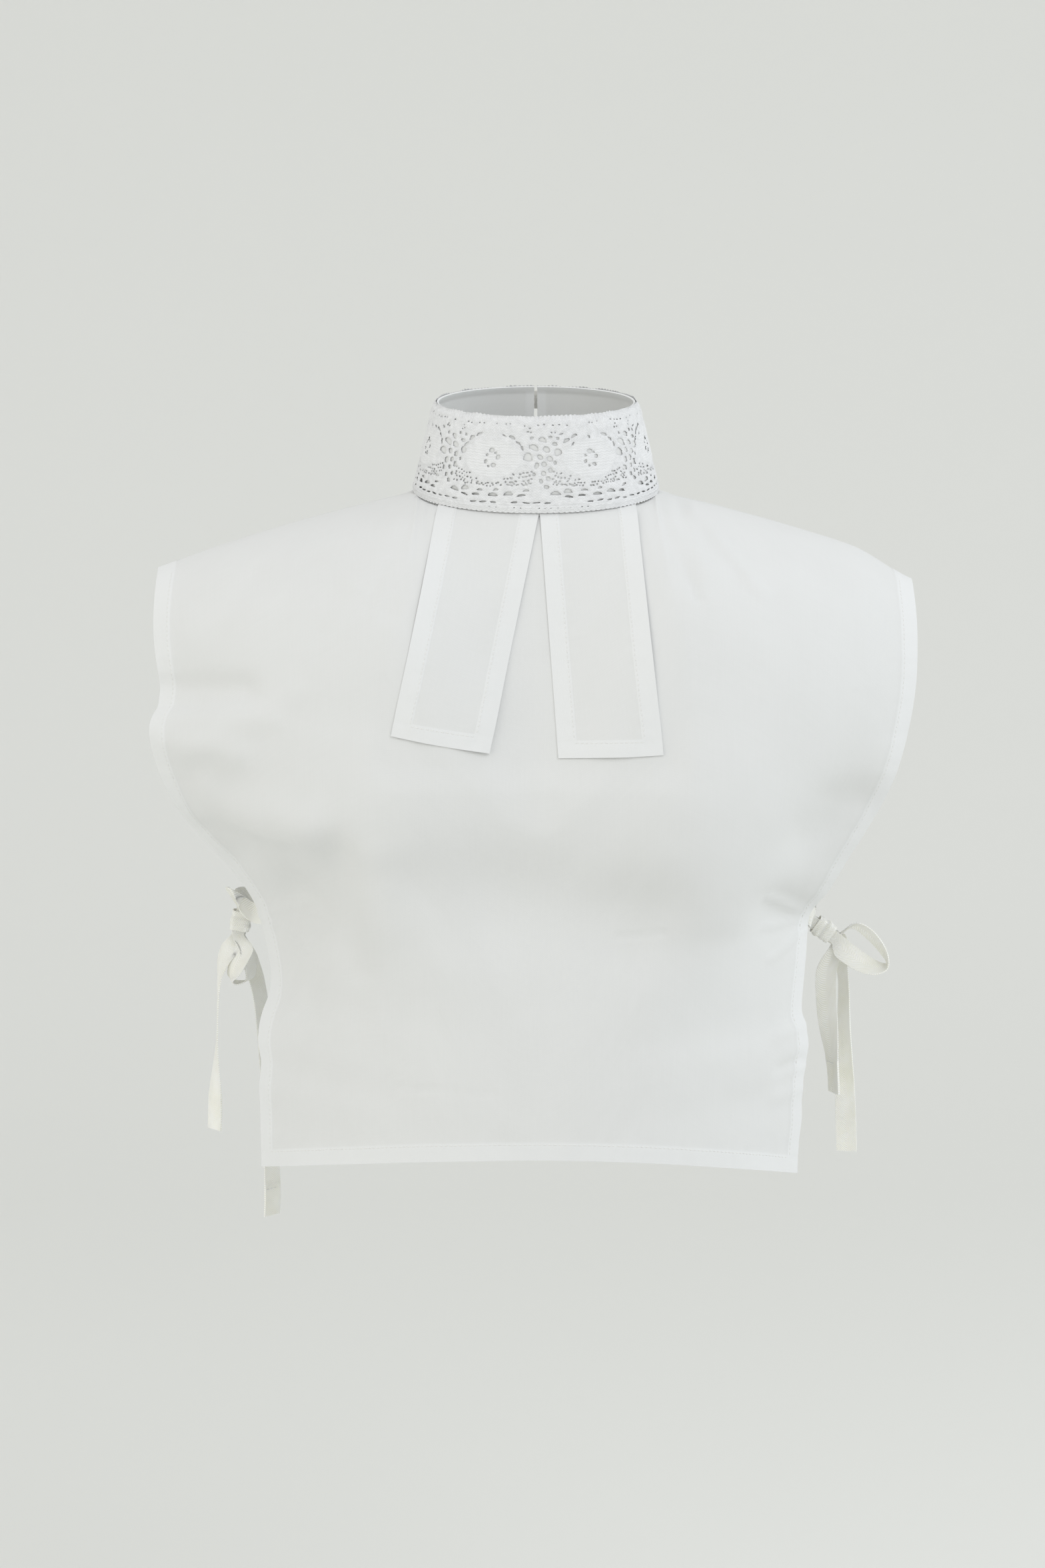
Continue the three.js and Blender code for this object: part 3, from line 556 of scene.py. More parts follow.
def addLace():
    turn = math.pi - lace["endGap"] / collar["topHalfWidth"]
    us = np.linspace(-turn, turn, lace["columns"] + 1)
    vs = np.linspace(0, 1, lace["rows"] + 1)
    around = lace["repeat"] * lace["repeats"] / (2 * turn)
    u, v = np.meshgrid(us, vs)
    s, t = u * around, v * lace["drop"]
    inner = (np.abs(u) < turn - 0.02) & (t > 2) & (t < lace["drop"] - 2)
    for _ in range(3):      # grid points near an opening are slid onto its edge
        gap, step = laceGap(s, t), 0.1
        slopeS = (laceGap(s + step, t) - laceGap(s - step, t)) / (2 * step)
        slopeT = (laceGap(s, t + step) - laceGap(s, t - step)) / (2 * step)
        steep = np.maximum(slopeS ** 2 + slopeT ** 2, 0.1)
        near = inner & (np.abs(gap) < 0.26 * np.sqrt(steep))
        slide = 0.8 * np.where(near, gap / steep, 0)
        s, t = s - slide * slopeS, t - slide * slopeT
    gap = np.where(inner, laceGap(s, t), 9.0)
    local = (s - lace["shift"]) % lace["repeat"] - lace["repeat"] / 2
    fromMiddle = np.hypot(local / 16.5, (t - 24) / 10.5)
    petals, rims = 1 - smoothStep(0.92, 1.06, fromMiddle), bell(fromMiddle, 1, 0.07)
    footing = smoothStep(lace["footing"] - 0.3, lace["footing"] + 0.3, t)
    heading = 1 - smoothStep(2.4, 3.0, t)

    def place(unusedU, unusedV):
        share = 1 - t / lace["drop"]
        curl = 1.7 * bell(t, 0, 2.2) + 0.8 * bell(t, lace["drop"], 1.8)
        point = collarPoint(s / around, share, lace["offset"] - curl)
        picots = 0.8 * np.abs(np.sin(s * math.pi / 2.6 + 2 * softNoise(s, 0 * s, 11, 77)))
        picots += 0.7 * softNoise(s, 0 * s, 7, 75)
        point[..., 2] += picots * bell(t, 0, 1.5)
        point[..., 2] -= 0.5 * np.abs(np.sin(s * math.pi / 2.9)) * bell(t, lace["drop"], 1.3)
        tilted = (lace["baseTilt"] - collar["baseTilt"]) * point[..., 1] + lace["lift"]
        point[..., 2] += (1 - share) * tilted
        return point

    def relief(unusedU, unusedV, points):
        height = -lace["edgeRoll"] * np.exp(-np.maximum(gap, 0) / 0.35)
        height += 0.13 * np.cos(t * 2 * math.pi / 1.9) * petals + 0.2 * rims
        plaits = np.abs(((s / 3.1) % 1) * 2 - 1) * 1.9
        height += 0.17 * np.sin((t + plaits) * 2 * math.pi / 1.9) * footing
        height += 0.22 * footing - 0.3 * bell(t, lace["footing"], 0.4)
        height += heading * (0.15 + 0.16 * np.sin(s * 2 * math.pi / 2.3))
        netting = (1 - petals) * (1 - footing) * (1 - heading)
        mesh = 0.1 * np.sin(s * 2.3 + t * 2.1) * np.sin(s * 2.3 - t * 2.1)
        height += netting * (0.24 * softNoise(s, t, 1.6, 73) + mesh)
        return height + 0.06 * softNoise(s, t, 1.1, 76) + 0.14 * softNoise(s, t, 14, 74) * smoothStep(0, 4, t)

    return addSheet(
        "collarLace", us, vs, place, relief, None, lambda unusedU, unusedV: np.maximum(petals, footing),
        opened=lambda unusedU, unusedV: gap - 0.02,
    )


collarLace = addLace()
print("lace made:", len(collarLace.data.polygons), "faces")

# the two bands that hang from under the lace
bands = {
    "leftBand": {"top": (-57, 1.5), "bottom": ((-82.5, -133.5), (-27.5, -144)), "seed": 81},
    "rightBand": {"top": (2, 58), "bottom": ((12.8, -147), (72, -144)), "seed": 85},
}
band = {
    "offset": 1.3, "away": 1.3, "sideHem": 11, "bottomHem": 10, "length": 135, "columns": 70, "rows": 110,
    "wall": (0.45, 0.75), "width": 57, "puckers": ((0.3, 5), (0.3, 14)), "crease": (1.3, 0.9),
}


def frontAt(x, z):
    # where the front panel has a given x and z, found by steps
    u, v, small = x / 160, np.maximum(-z, 1) / 400, 1e-3
    for _ in range(24):
        here = panelPoint(frontPanel, u, v)
        byU = (panelPoint(frontPanel, u + small, v)[..., 0] - here[..., 0]) / small
        byV = (panelPoint(frontPanel, u, v + small)[..., 2] - here[..., 2]) / small
        u = np.clip(u + (x - here[..., 0]) / byU, -1, 1)
        v = np.clip(v + (z - here[..., 2]) / byV, 0, 1)
    across = panelPoint(frontPanel, u + small, v) - panelPoint(frontPanel, u - small, v)
    down = panelPoint(frontPanel, u, v + small) - panelPoint(frontPanel, u, np.maximum(v - small, 0))
    out = np.cross(down, across)
    return panelPoint(frontPanel, u, v) + out / np.linalg.norm(out, axis=-1, keepdims=True) * band["away"]


def addBand(name, shape):
    side, step = band["sideHem"] / band["width"], 0.005
    edge = list(np.linspace(0, side - step, 8))
    us = np.array(edge + list(np.linspace(side, 1 - side, band["columns"])) + [1 - h for h in reversed(edge)])

    def inCollar(height):
        x = shape["top"][0] + (shape["top"][1] - shape["top"][0]) * us
        share = height / collar["height"]
        width = collar["baseHalfWidth"] + (collar["topHalfWidth"] - collar["baseHalfWidth"]) * share
        return collarPoint(np.arcsin(x / (width + band["offset"])), np.full_like(x, share), band["offset"])

    def overPanel(drop):
        start, (left, right) = inCollar(0), shape["bottom"]
        x = start[:, 0] + (left[0] + (right[0] - left[0]) * us - start[:, 0]) * drop
        z = start[:, 2] + (left[1] + (right[1] - left[1]) * us - start[:, 2]) * drop
        return frontAt(x, z)

    hemTop = 1 - band["bottomHem"] / band["length"]
    drops = list(np.linspace(0.13, 1, band["rows"]) ** 1.6 * hemTop) + list(np.linspace(hemTop + 0.004, 1, 8))
    bridge = [inCollar(4), inCollar(0.4), overPanel(drops[0]), overPanel(drops[3])]
    # under the lace's foot the first grid lines lie together, at the turn from collar to panel
    hidden = [inCollar(h) for h in (7, 5.5, 4, 2.8, 1.6)] + [throughPoints(bridge, np.array(0.34))] * 6
    rows = hidden + [overPanel(drop) for drop in drops]
    grid, fallen = np.array(rows), np.array([0] * len(hidden) + drops)
    vs = np.arange(len(rows)) / (len(rows) - 1)
    isLow = fallen > hemTop + 0.001

    def relief(u, v, points):
        drop = np.broadcast_to(fallen[:, None], u.shape)
        x, z = points[..., 0], points[..., 2]
        inSide = (np.abs(u - 0.5) - 0.5 + side) * band["width"]
        inBottom = (drop - hemTop) * band["length"]
        height = bell(inSide, 1.5, 5) * humps(z, 0 * z, band["puckers"], shape["seed"])
        height += bell(inBottom, 1.5, 4) * 0.28 * softNoise(x, 0 * x, 6, shape["seed"] + 2)
        height -= 0.12 * sum(bell(into, *band["crease"]) for into in (inSide, inBottom))
        height += 0.5 * softNoise(x, z, 38, shape["seed"] + 3)
        height += 0.6 * smoothStep(0.6, 1, drop)
        height += 0.5 * smoothStep(0.5, 1, drop) * np.sin(u * 9 + shape["seed"])
        return height * smoothStep(0.03, 0.15, drop)

    return addSheet(
        name, us, vs, lambda u, v: grid, relief, band["wall"],
        lambda u, v: ((np.abs(u - 0.5) > 0.5 - side + 0.002) | isLow[:, None]) * 1.0,
    )


bandPieces = [addBand(name, shape) for name, shape in bands.items()]
print("bands hung")

# the tape bows: stations give a tape's middle, the way across it and its width
tape = {
    "width": 12.6, "pinch": 7.6, "layer": 1.6, "hemWall": 1.8, "wall": (0.7, 1.3), "columns": 8, "every": 1.2,
    "waist": (-9, -5, 5, 9),
}
bows = {
    "left": {"hand": -1, "at": (-178, 2, -264), "run": (-0.17, -0.985), "sewnAt": -259},
    "right": {"hand": 1, "at": (174, 5, -270), "run": (0.81, -0.586), "sewnAt": -258},
}
loops = {      # along the bow's run, up across it, back, tilt, width
    "left": [
        (15, -5, -5, 0.5), (29, -1.5, -7, 0.8), (36, 0, -4, 1.35), (38, -5, -0.5, 1.7), (34, -11, 1.5, 1.9),
        (20, -8, -1, 2.3),
    ],
    "right": [
        (15, -2.5, -4, 0.25), (28, -2.5, -6, 0.5), (39, 0, -6, 1.0), (44, 5, -4, 1.5), (37, 10.5, -3, 1.95),
        (24, 14, -2, 2.15), (13, 12.5, -2, 2.25, 10),
    ],
}
tails = {
    "left": {
        "lead": [
            (-171.5, -5, -257, 0, -0.1, -1), (-180, -9, -249, 0.3, -0.4, -0.85),
            (-181, -4, -246, 0.9, -0.2, -0.4),
        ],
        "backLead": [(-173, 19, -253, 0.2, 0.2, -1), (-177, 9, -250, 0.8, 0.1, -0.6)],
        "tail": [
            (-184.5, 2.2, -281, -0.8, 0.5, 0.3), (-189, 3, -290, -0.5, 0.8, 0.2),
            (-192, 4, -305, -0.15, 0.98, 0), (-193.7, 2.5, -340, -0.1, 1, 0), (-195, 1, -371, -0.6, 0.8, 0),
            (-195.4, 0, -393, -0.65, 0.75, 0),
        ],
        "backTail": [
            (-178.5, 6.5, -279.5, 0.95, 0.2, -0.1), (-174, 13.5, -290, 0.8, 0.6, 0),
            (-168, 19, -315, 0.6, 0.8, 0), (-163.5, 20, -370, 0.65, 0.75, 0),
            (-161.8, 20, -432, 0.68, 0.73, 0), (-162.2, 20, -452, 0.68, 0.73, 0),
        ],
    },
    "right": {
        "lead": [(166.5, -4, -260.5, -0.2, -0.2, -1)],
        "backLead": [(168.5, 17, -261, -0.3, 0.1, -0.95)],
        "tail": [
            (179.5, 3.5, -284, 0.9, -0.1, 0.4), (176, 5.5, -298, 1, -0.1, 0.05),
            (177, 7, -322, 0.95, -0.3, 0), (180, 6.5, -351, 0.5, -0.85, 0), (181.6, 6, -371.7, 0.4, -0.9, 0),
        ],
        "backTail": [
            (184, 9, -279.5, -0.65, 0.2, -0.7), (186, 14.5, -292, -0.5, 0.8, -0.2),
            (187.5, 16, -308, -0.45, 0.9, 0), (188, 15, -336, -0.6, 0.8, 0), (189.5, 11, -389, -0.97, 0.2, 0),
            (190.1, 9.5, -409, -1, 0.1, 0),
        ],
    },
}


def bowWays(bow):
    along = np.array([bow["run"][0], 0, bow["run"][1]])
    up = np.array([-bow["run"][1], 0, bow["run"][0]])
    return along, up if up[2] >= 0 else -up, np.array([0, 1.0, 0])


def bowStation(bow, a, up=0.0, back=0.0, tilt=0.0, width=None):
    alongWay, upWay, backWay = bowWays(bow)
    at = np.array(bow["at"]) + a * alongWay + up * upWay + back * backWay
    across = -math.cos(tilt) * upWay - math.sin(tilt) * backWay
    return at, across, width or tape["width"]


def sewnStations(panel, bow):
    # the tape's end is sewn behind the panel's edge
    hand, small = bow["hand"], 1e-3
    edge = edgeAt(panel, np.array([hand * 1.0]), np.array([float(bow["sewnAt"])]))[0]
    found = []
    for distance in (7, 1):
        u = np.array([hand * (1 - distance / edge)])
        low, high = 0.0, 1.0
        for _ in range(30):
            middle = (low + high) / 2
            if panelPoint(panel, u, np.array([middle]))[0, 2] > bow["sewnAt"]:
                low = middle
            else:
                high = middle
        at = panelPoint(panel, u, np.array([low]))[0]
        down = panelPoint(panel, u, np.array([low + small]))[0] - at
        down /= np.linalg.norm(down)
        inward = np.cross(down, panelPoint(panel, u - hand * small, np.array([low]))[0] - at)
        inward /= np.linalg.norm(inward)
        if inward[1] * panel["facing"] > 0:
            inward = -inward
        found.append((at + inward * (tape["hemWall"] / 2 + 0.8), down, tape["width"]))
    return found


def loopStations(bow, loop):
    layer, width, back = tape["layer"], tape["pinch"], math.pi
    found = [bowStation(bow, a, back=-1.5 * layer, width=width) for a in tape["waist"]]
    found += [bowStation(bow, *row) for row in loop]
    found += [bowStation(bow, a, back=-0.5 * layer, tilt=back, width=width) for a in (9, 5, -1)]
    found += [bowStation(bow, -2.4, back=0, tilt=back, width=width)]
    return found + [bowStation(bow, a, back=0.5 * layer, tilt=back, width=width) for a in (-1, 5, 9)]


def freeStations(rows):
    return [(np.array(row[:3], dtype=float), np.array(row[3:], dtype=float), tape["width"]) for row in rows]


def addTape(name, stations, seed):
    ats, ways = [s[0] for s in stations], [s[1] for s in stations]
    widths, last = [s[2] for s in stations], len(stations) - 1
    dense = throughPoints(ats, np.linspace(0, 1, 1200))
    length = np.linalg.norm(np.diff(dense, axis=0), axis=1).sum()
    fold = 1 - 1 / last
    body = int(length / tape["every"])
    vs = np.array(list(np.linspace(0, fold - 0.001, body)) + list(np.linspace(fold, 1, 14)))
    us = np.linspace(-1, 1, tape["columns"] + 1)

    def place(u, v):
        middle, across = throughPoints(ats, v), throughPoints(ways, v)
        across = across / np.linalg.norm(across, axis=-1, keepdims=True)
        half = np.interp(v * last, range(last + 1), widths) / 2
        return middle + across * (u * half)[..., None]

    def relief(u, v, points):
        free = smoothStep(0.6, 0.8, v) * (1 - smoothStep(0.985, 1, v) * 0.5)
        curl = 0.35 * (u * u - 0.4) * softNoise(v * length, 0 * v, 34, seed)
        return free * (curl + 0.45 * softNoise(v * length, u * 5, 22, seed + 1))

    return addSheet(name, us, vs, place, relief, tape["wall"], lambda u, v: (v > fold - 1e-4) * 1.0)


knotShape = {
    "halfWidth": 5.7, "halfDepth": 4.5, "length": 11.8, "squareness": 4.5, "columns": 96, "rows": 22,
    "wall": (0.8, 0.8), "creases": 0.35, "waist": 0.05,
}


def addKnot(name, bow, seed):
    alongWay, upWay, backWay = bowWays(bow)
    us = np.linspace(0, 2 * math.pi, knotShape["columns"] + 1)
    vs = np.linspace(-1, 1, knotShape["rows"] + 1) * knotShape["length"] / 2

    def rounded(value):
        return np.sign(value) * np.abs(value) ** (2 / knotShape["squareness"])

    def place(u, v):
        waist = 1 - knotShape["waist"] * (2 * v / knotShape["length"]) ** 2
        up = (knotShape["halfWidth"] * waist * rounded(np.cos(u)))[..., None] * upWay
        back = (knotShape["halfDepth"] * waist * rounded(np.sin(u)))[..., None] * backWay
        return np.array(bow["at"]) + v[..., None] * alongWay + up + back

    def relief(u, v, points):
        ends = 1 - (2 * v / knotShape["length"]) ** 2
        creases = np.sin(v * 1.5 + 0.7 * np.sin(u)) + np.sin(v * 0.8 + 0.9 * np.cos(u) + seed)
        return knotShape["creases"] * ends * creases

    return addSheet(name, us, vs, place, relief, knotShape["wall"], lambda u, v: np.zeros_like(u), ring=True)


tapePieces, knotPieces = {}, {}
for side, bow in bows.items():
    ends = tails[side]
    pinched = [bowStation(bow, a, back=1.5 * tape["layer"], width=tape["pinch"]) for a in tape["waist"]]
    for end, panel, lead, middle, tail, seed in (
        ("FrontTie", frontPanel, "lead", loopStations(bow, loops[side]), "tail", 91),
        ("BackTie", backPanel, "backLead", pinched, "backTail", 95),
    ):
        way = sewnStations(panel, bow) + freeStations(ends[lead]) + middle + freeStations(ends[tail])
        tapePieces[side + end] = addTape(side + end, way, seed)
    knotPieces[side + "Knot"] = addKnot(side + "Knot", bow, 3 if side == "left" else 5)
print("bows tied")

# stitching: one stitch is shaped once, and copied along every seam
stitch = {"length": 2.1, "every": 2.9, "radius": 0.27, "sides": 6, "inset": 1.4}


def shapeStitch():
    bpy.ops.object.select_all(action="DESELECT")
    bpy.ops.mesh.primitive_cylinder_add(
        vertices=stitch["sides"], radius=stitch["radius"] * mm, depth=stitch["length"] * 0.7 * mm,
        rotation=(0, math.pi / 2, 0), end_fill_type="NGON",
    )
    pattern = newPiece("pattern")
    bpy.ops.object.transform_apply(location=False, rotation=True, scale=False)
    for hand in (-1, 1):      # each end is drawn out to a point that dips into the cloth
        selectFaces(pattern.data, [face.normal.x * hand > 0.9 for face in pattern.data.polygons])
        drawn = (hand * stitch["length"] * 0.15 * mm, 0, -stitch["radius"] * 0.9 * mm)
        bpy.ops.mesh.extrude_region_move(TRANSFORM_OT_translate={"value": drawn})
        bpy.ops.transform.resize(value=(0.45, 0.45, 0.45))
        bpy.ops.object.mode_set(mode="OBJECT")
    return pattern


pattern = shapeStitch()
patternPoints = np.array([vertex.co[:] for vertex in pattern.data.vertices])
patternFaces = [list(face.vertices) for face in pattern.data.polygons]
bpy.data.objects.remove(pattern, do_unlink=True)


def addStitches(name, lines):
    rng = np.random.default_rng(len(name))
    points, faces = [], []
    for middle, out in lines:
        travelled = np.concatenate([[0], np.cumsum(np.linalg.norm(np.diff(middle, axis=0), axis=1))])
        count = int(travelled[-1] / stitch["every"])
        for k in range(count):
            ends = [(k + 0.5) * stitch["every"] + hand * stitch["length"] / 2 for hand in (-1, 1)]
            a, b = (np.array([np.interp(e, travelled, middle[:, n]) for n in range(3)]) for e in ends)
            up = np.array([np.interp((k + 0.5) * stitch["every"], travelled, out[:, n]) for n in range(3)])
            along = (b - a) / max(np.linalg.norm(b - a), 1e-6)
            up = up - along * up.dot(along)
            up /= max(np.linalg.norm(up), 1e-6)
            sideways = np.cross(up, along)
            lean = rng.uniform(-0.05, 0.05)
            along, sideways = along + sideways * lean, sideways - along * lean
            place = patternPoints @ np.array([along, sideways, up]) + (a + b) / 2 * mm
            faces += [[index + len(points) for index in face] for face in patternFaces]
            points += [tuple(point) for point in place]
    mesh = bpy.data.meshes.new(name)
    mesh.from_pydata(points, [], faces)
    piece = addObject(name, mesh)
    selectOnly(piece)
    bpy.ops.object.shade_smooth_by_angle(angle=math.radians(60))
    return piece


def seamLine(name, us, vs, lift):
    middle, out = onCloth(name, np.asarray(us, dtype=float), np.asarray(vs, dtype=float))
    return middle + out * lift, out


def panelSeams(name, panel):
    side, bottom = hemShares(panel)
    inU = side - stitch["inset"] / panelShape["halfWidth"]
    inV = bottom + stitch["inset"] / (panelShape["rowPower"] * abs(panel["middleHem"]))
    down, across = np.linspace(0.05, inV, 260), np.linspace(-1 + inU, 1 - inU, 260)
    lines = [seamLine(name, np.full(260, hand * (1 - inU)), down, 0.55) for hand in (-1, 1)]
    return lines + [seamLine(name, across, np.full(260, inV), 0.55)]


def bandSeams(name):
    vs = laid[name]["vs"]
    side = (band["sideHem"] - stitch["inset"]) / band["width"]
    start, low = vs[10], vs[-7]      # from the lace's foot to the hem
    down, across = np.linspace(start, low, 160), np.linspace(side, 1 - side, 80)
    lines = [seamLine(name, np.full(160, edge), down, 0.375) for edge in (side, 1 - side)]
    return lines + [seamLine(name, across, np.full(80, low), 0.375)]


def tapeSeam(name):
    return seamLine(name, np.linspace(-0.9, 0.9, 20), np.full(20, laid[name]["vs"][-13]), 0.65)


seams = {
    "frontStitches": panelSeams("frontCloth", frontPanel),
    "backStitches": panelSeams("backCloth", backPanel),
    "bandStitches": bandSeams("leftBand") + bandSeams("rightBand"),
    "tapeStitches": [tapeSeam(name) for name in tapePieces],
}
stitchPieces = {name: addStitches(name, lines) for name, lines in seams.items()}
print("stitches sewn")

# the button at the centre back
button = {
    "radius": 5.5, "depth": 2.2, "share": 0.82, "away": 5.8, "dish": 0.45, "rim": 1.1, "eye": 0.75,
    "eyes": 1.5, "softness": 0.22,
}


def addButton():
    radius, depth = button["radius"] * mm, button["depth"] * mm
    bpy.ops.object.select_all(action="DESELECT")
    bpy.ops.mesh.primitive_cylinder_add(vertices=48, radius=radius, depth=depth)
    piece = newPiece("collarButton")
    selectFaces(piece.data, [face.normal.z > 0.9 for face in piece.data.polygons])
    bpy.ops.mesh.inset(thickness=button["rim"] * mm)
    bpy.ops.mesh.extrude_region_move(TRANSFORM_OT_translate={"value": (0, 0, -button["dish"] * mm)})
    bpy.ops.transform.resize(value=(0.9, 0.9, 1))
    bpy.ops.object.mode_set(mode="OBJECT")
    for x, y in ((1, 1), (1, -1), (-1, 1), (-1, -1)):
        bpy.ops.object.select_all(action="DESELECT")
        bpy.ops.mesh.primitive_cylinder_add(
            vertices=16, radius=button["eye"] * mm, depth=depth * 3,
            location=(x * button["eyes"] * mm, y * button["eyes"] * mm, 0),
        )
        cutter = newPiece("cutter")
        bpy.context.view_layer.objects.active = piece
        hole = piece.modifiers.new("eye", "BOOLEAN")
        hole.operation, hole.object = "DIFFERENCE", cutter
        bpy.ops.object.modifier_apply(modifier=hole.name)
        bpy.data.objects.remove(cutter, do_unlink=True)
    edges = piece.modifiers.new("soft edges", "BEVEL")
    edges.width, edges.segments, edges.limit_method = button["softness"] * mm, 3, "ANGLE"
    bpy.ops.object.modifier_apply(modifier=edges.name)
    selectOnly(piece)
    piece.rotation_euler = (-math.pi / 2, 0, 0)
    piece.location = collarPoint(math.pi, button["share"], button["away"]) * mm
    bpy.ops.object.transform_apply(location=True, rotation=True, scale=True)
    bpy.ops.object.shade_smooth_by_angle(angle=math.radians(35))
    return piece


collarButton = addButton()
print("button made")

# materials: shared effects are node groups, with lengths in metres of cloth
weave = {"pitch": 0.00052, "slub": 0.35}
laceThread = {"rib": 0.0015, "post": 0.0011, "twist": 0.0016}
herringbone = {"column": 0.0063, "slope": 1.25, "line": 0.0014}


def setInputs(tree, node, inputs):
    for socket, value in inputs.items():
        if isinstance(value, bpy.types.NodeSocket):
            tree.links.new(value, node.inputs[socket])
        else:
            node.inputs[socket].default_value = value


def addNode(tree, kind, inputs, **settings):
    node = tree.nodes.new("ShaderNode" + kind)
    for name, value in settings.items():
        setattr(node, name, value)
    setInputs(tree, node, inputs)
    return node


def addMath(tree, operation, *values):
    return addNode(tree, "Math", dict(enumerate(values)), operation=operation).outputs[0]


def addWave(tree, value, period):
    return addMath(tree, "SINE", addMath(tree, "MULTIPLY", value, 2 * math.pi / period))


def addNoise(tree, vector, stretch, scale, detail=2.0):
    place = addNode(tree, "Mapping", {"Vector": vector, "Scale": stretch})
    noise = addNode(tree, "TexNoise", {"Vector": place.outputs[0], "Scale": scale, "Detail": detail})
    return noise.outputs["Fac"]


def mixColours(tree, share, first, second):
    return addNode(tree, "Mix", {0: share, 6: first, 7: second}, data_type="RGBA").outputs[2]


def addBump(tree, height, strength, distance):
    return addNode(tree, "Bump", {"Height": height, "Strength": strength, "Distance": distance}).outputs[0]


def newGroup(name, **amounts):
    group = bpy.data.node_groups.new(name, "ShaderNodeTree")
    group.interface.new_socket("Map", in_out="INPUT", socket_type="NodeSocketVector")
    for label, value in amounts.items():
        group.interface.new_socket(label, in_out="INPUT", socket_type="NodeSocketFloat").default_value = value
    for label in ("Height", "Shade"):
        group.interface.new_socket(label, in_out="OUTPUT", socket_type="NodeSocketFloat")
    start, end = group.nodes.new("NodeGroupInput"), group.nodes.new("NodeGroupOutput")
    split = addNode(group, "SeparateXYZ", {0: start.outputs["Map"]})
    return group, start.outputs, end, split.outputs[0], split.outputs[1]


def makeWeave():
    # plain weave: threads over and under each other, some thicker than the rest
    group, given, end, x, y = newGroup("plainWeave", Pitch=weave["pitch"], Slub=weave["slub"])
    turn = addMath(group, "DIVIDE", math.pi, given["Pitch"])
    overX, overY = (addMath(group, "SINE", addMath(group, "MULTIPLY", way, turn)) for way in (x, y))
    cross = addMath(group, "MULTIPLY_ADD", addMath(group, "MULTIPLY", overX, overY), 0.5, 0.5)
    warp = addNoise(group, given["Map"], (1, 0.03, 1), 900)
    weft = addNoise(group, given["Map"], (0.03, 1, 1), 900)
    slub = addMath(group, "MULTIPLY", addMath(group, "ADD", warp, weft), given["Slub"])
    cloud = addNoise(group, given["Map"], (1, 1, 1), 26, 4)
    setInputs(group, end, {
        "Height": addMath(group, "MULTIPLY_ADD", cross, 0.5, slub),
        "Shade": addMath(group, "MULTIPLY_ADD", cloud, 0.55, addMath(group, "MULTIPLY", slub, 0.65)),
    })
    return group


def makeLaceThread():
    # plaited and twisted threads, and the ribs of the close-woven petals; the colour follows the height too,
    # as painted shade in the grooves between them
    group, given, end, x, y = newGroup("laceThread", Petal=0.0)
    posts = addMath(group, "MULTIPLY", addWave(group, x, laceThread["post"]), 0.5)
    ribs = addMath(group, "ADD", addWave(group, y, laceThread["rib"]), posts)
    woven = addMath(group, "MULTIPLY", ribs, 0.3)
    slants = [addWave(group, addMath(group, way, x, y), laceThread["twist"]) for way in ("ADD", "SUBTRACT")]
    netting = addMath(group, "MULTIPLY", addMath(group, "ADD", *slants), 0.16)
    difference = addMath(group, "SUBTRACT", woven, netting)
    height = addMath(group, "MULTIPLY_ADD", difference, given["Petal"], netting)
    fuzz = addNoise(group, given["Map"], (1, 1, 1), 1400, 3)
    cloud = addNoise(group, given["Map"], (1, 1, 1), 240, 3)
    setInputs(group, end, {
        "Height": addMath(group, "MULTIPLY_ADD", fuzz, 0.35, height),
        # painted shade: Shade is darker where the ribs and threads are low
        "Shade": addMath(group, "MULTIPLY_ADD", height, 0.7, cloud),
    })
    return group


def makeHerringbone():
    # twill lines that slant up to the tape's middle from both sides; the colour follows the same lines, as
    # painted shade in the twill grooves
    group, given, end, x, y = newGroup(
        "herringbone", Column=herringbone["column"], Slope=herringbone["slope"], Line=herringbone["line"],
    )
    zigzag = addMath(group, "PINGPONG", x, given["Column"])
    slope = addMath(group, "MULTIPLY_ADD", zigzag, given["Slope"], y)
    turns = addMath(group, "DIVIDE", addMath(group, "MULTIPLY", slope, 2 * math.pi), given["Line"])
    lines = addMath(group, "MULTIPLY_ADD", addMath(group, "SINE", turns), 0.5, 0.5)
    fuzz = addNoise(group, given["Map"], (1, 0.2, 1), 1300, 3)
    cloud = addNoise(group, given["Map"], (1, 1, 1), 60, 3)
    setInputs(group, end, {
        "Height": addMath(group, "MULTIPLY_ADD", fuzz, 0.15, lines),
        # painted shade: Shade is darker along the low twill lines, with a random cloud on top
        "Shade": addMath(group, "MULTIPLY_ADD", lines, 0.45, addMath(group, "MULTIPLY", cloud, 0.6)),
    })
    return group


# "doubled" is the tone of hems, petals and other close cloth, mixed in by "lift"
toneColumns = ("name", "low", "high", "doubled", "lift", "shade")
# low and high are mixed by a group's Shade output: for cottonLace and twillTape the low tone lands in the
# thread grooves as painted shade, and twillTape's warm low tone is a painted shade tint
clothTones = namedRows(toneColumns, [
    ("washedCotton", (0.735, 0.74, 0.73), (0.78, 0.785, 0.78), (0.85, 0.86, 0.865), 0.4, (0.35, 1.0)),
    ("cottonLace", (0.69, 0.695, 0.70), (0.83, 0.835, 0.84), (0.83, 0.835, 0.835), 0.4, (0.2, 0.8)),
    ("twillTape", (0.77, 0.76, 0.66), (0.97, 0.965, 0.92), (0.90, 0.90, 0.87), 0.15, (0.2, 0.75)),
])
clothSurfaces = namedRows(("group", "rough", "bump", "depth", "sheen", "through"), [
    (makeWeave(), (0.82, 0.95), 0.3, 0.00008, 0.2, 0),
    (makeLaceThread(), (0.84, 0.95), 0.7, 0.00017, 0.15, 0),
    (makeHerringbone(), (0.8, 0.93), 0.9, 0.0001, 0.2, 0.6),
])


def newMaterial(name):
    material = bpy.data.materials.new(name)
    material.use_nodes = True
    return material, material.node_tree, material.node_tree.nodes["Principled BSDF"]


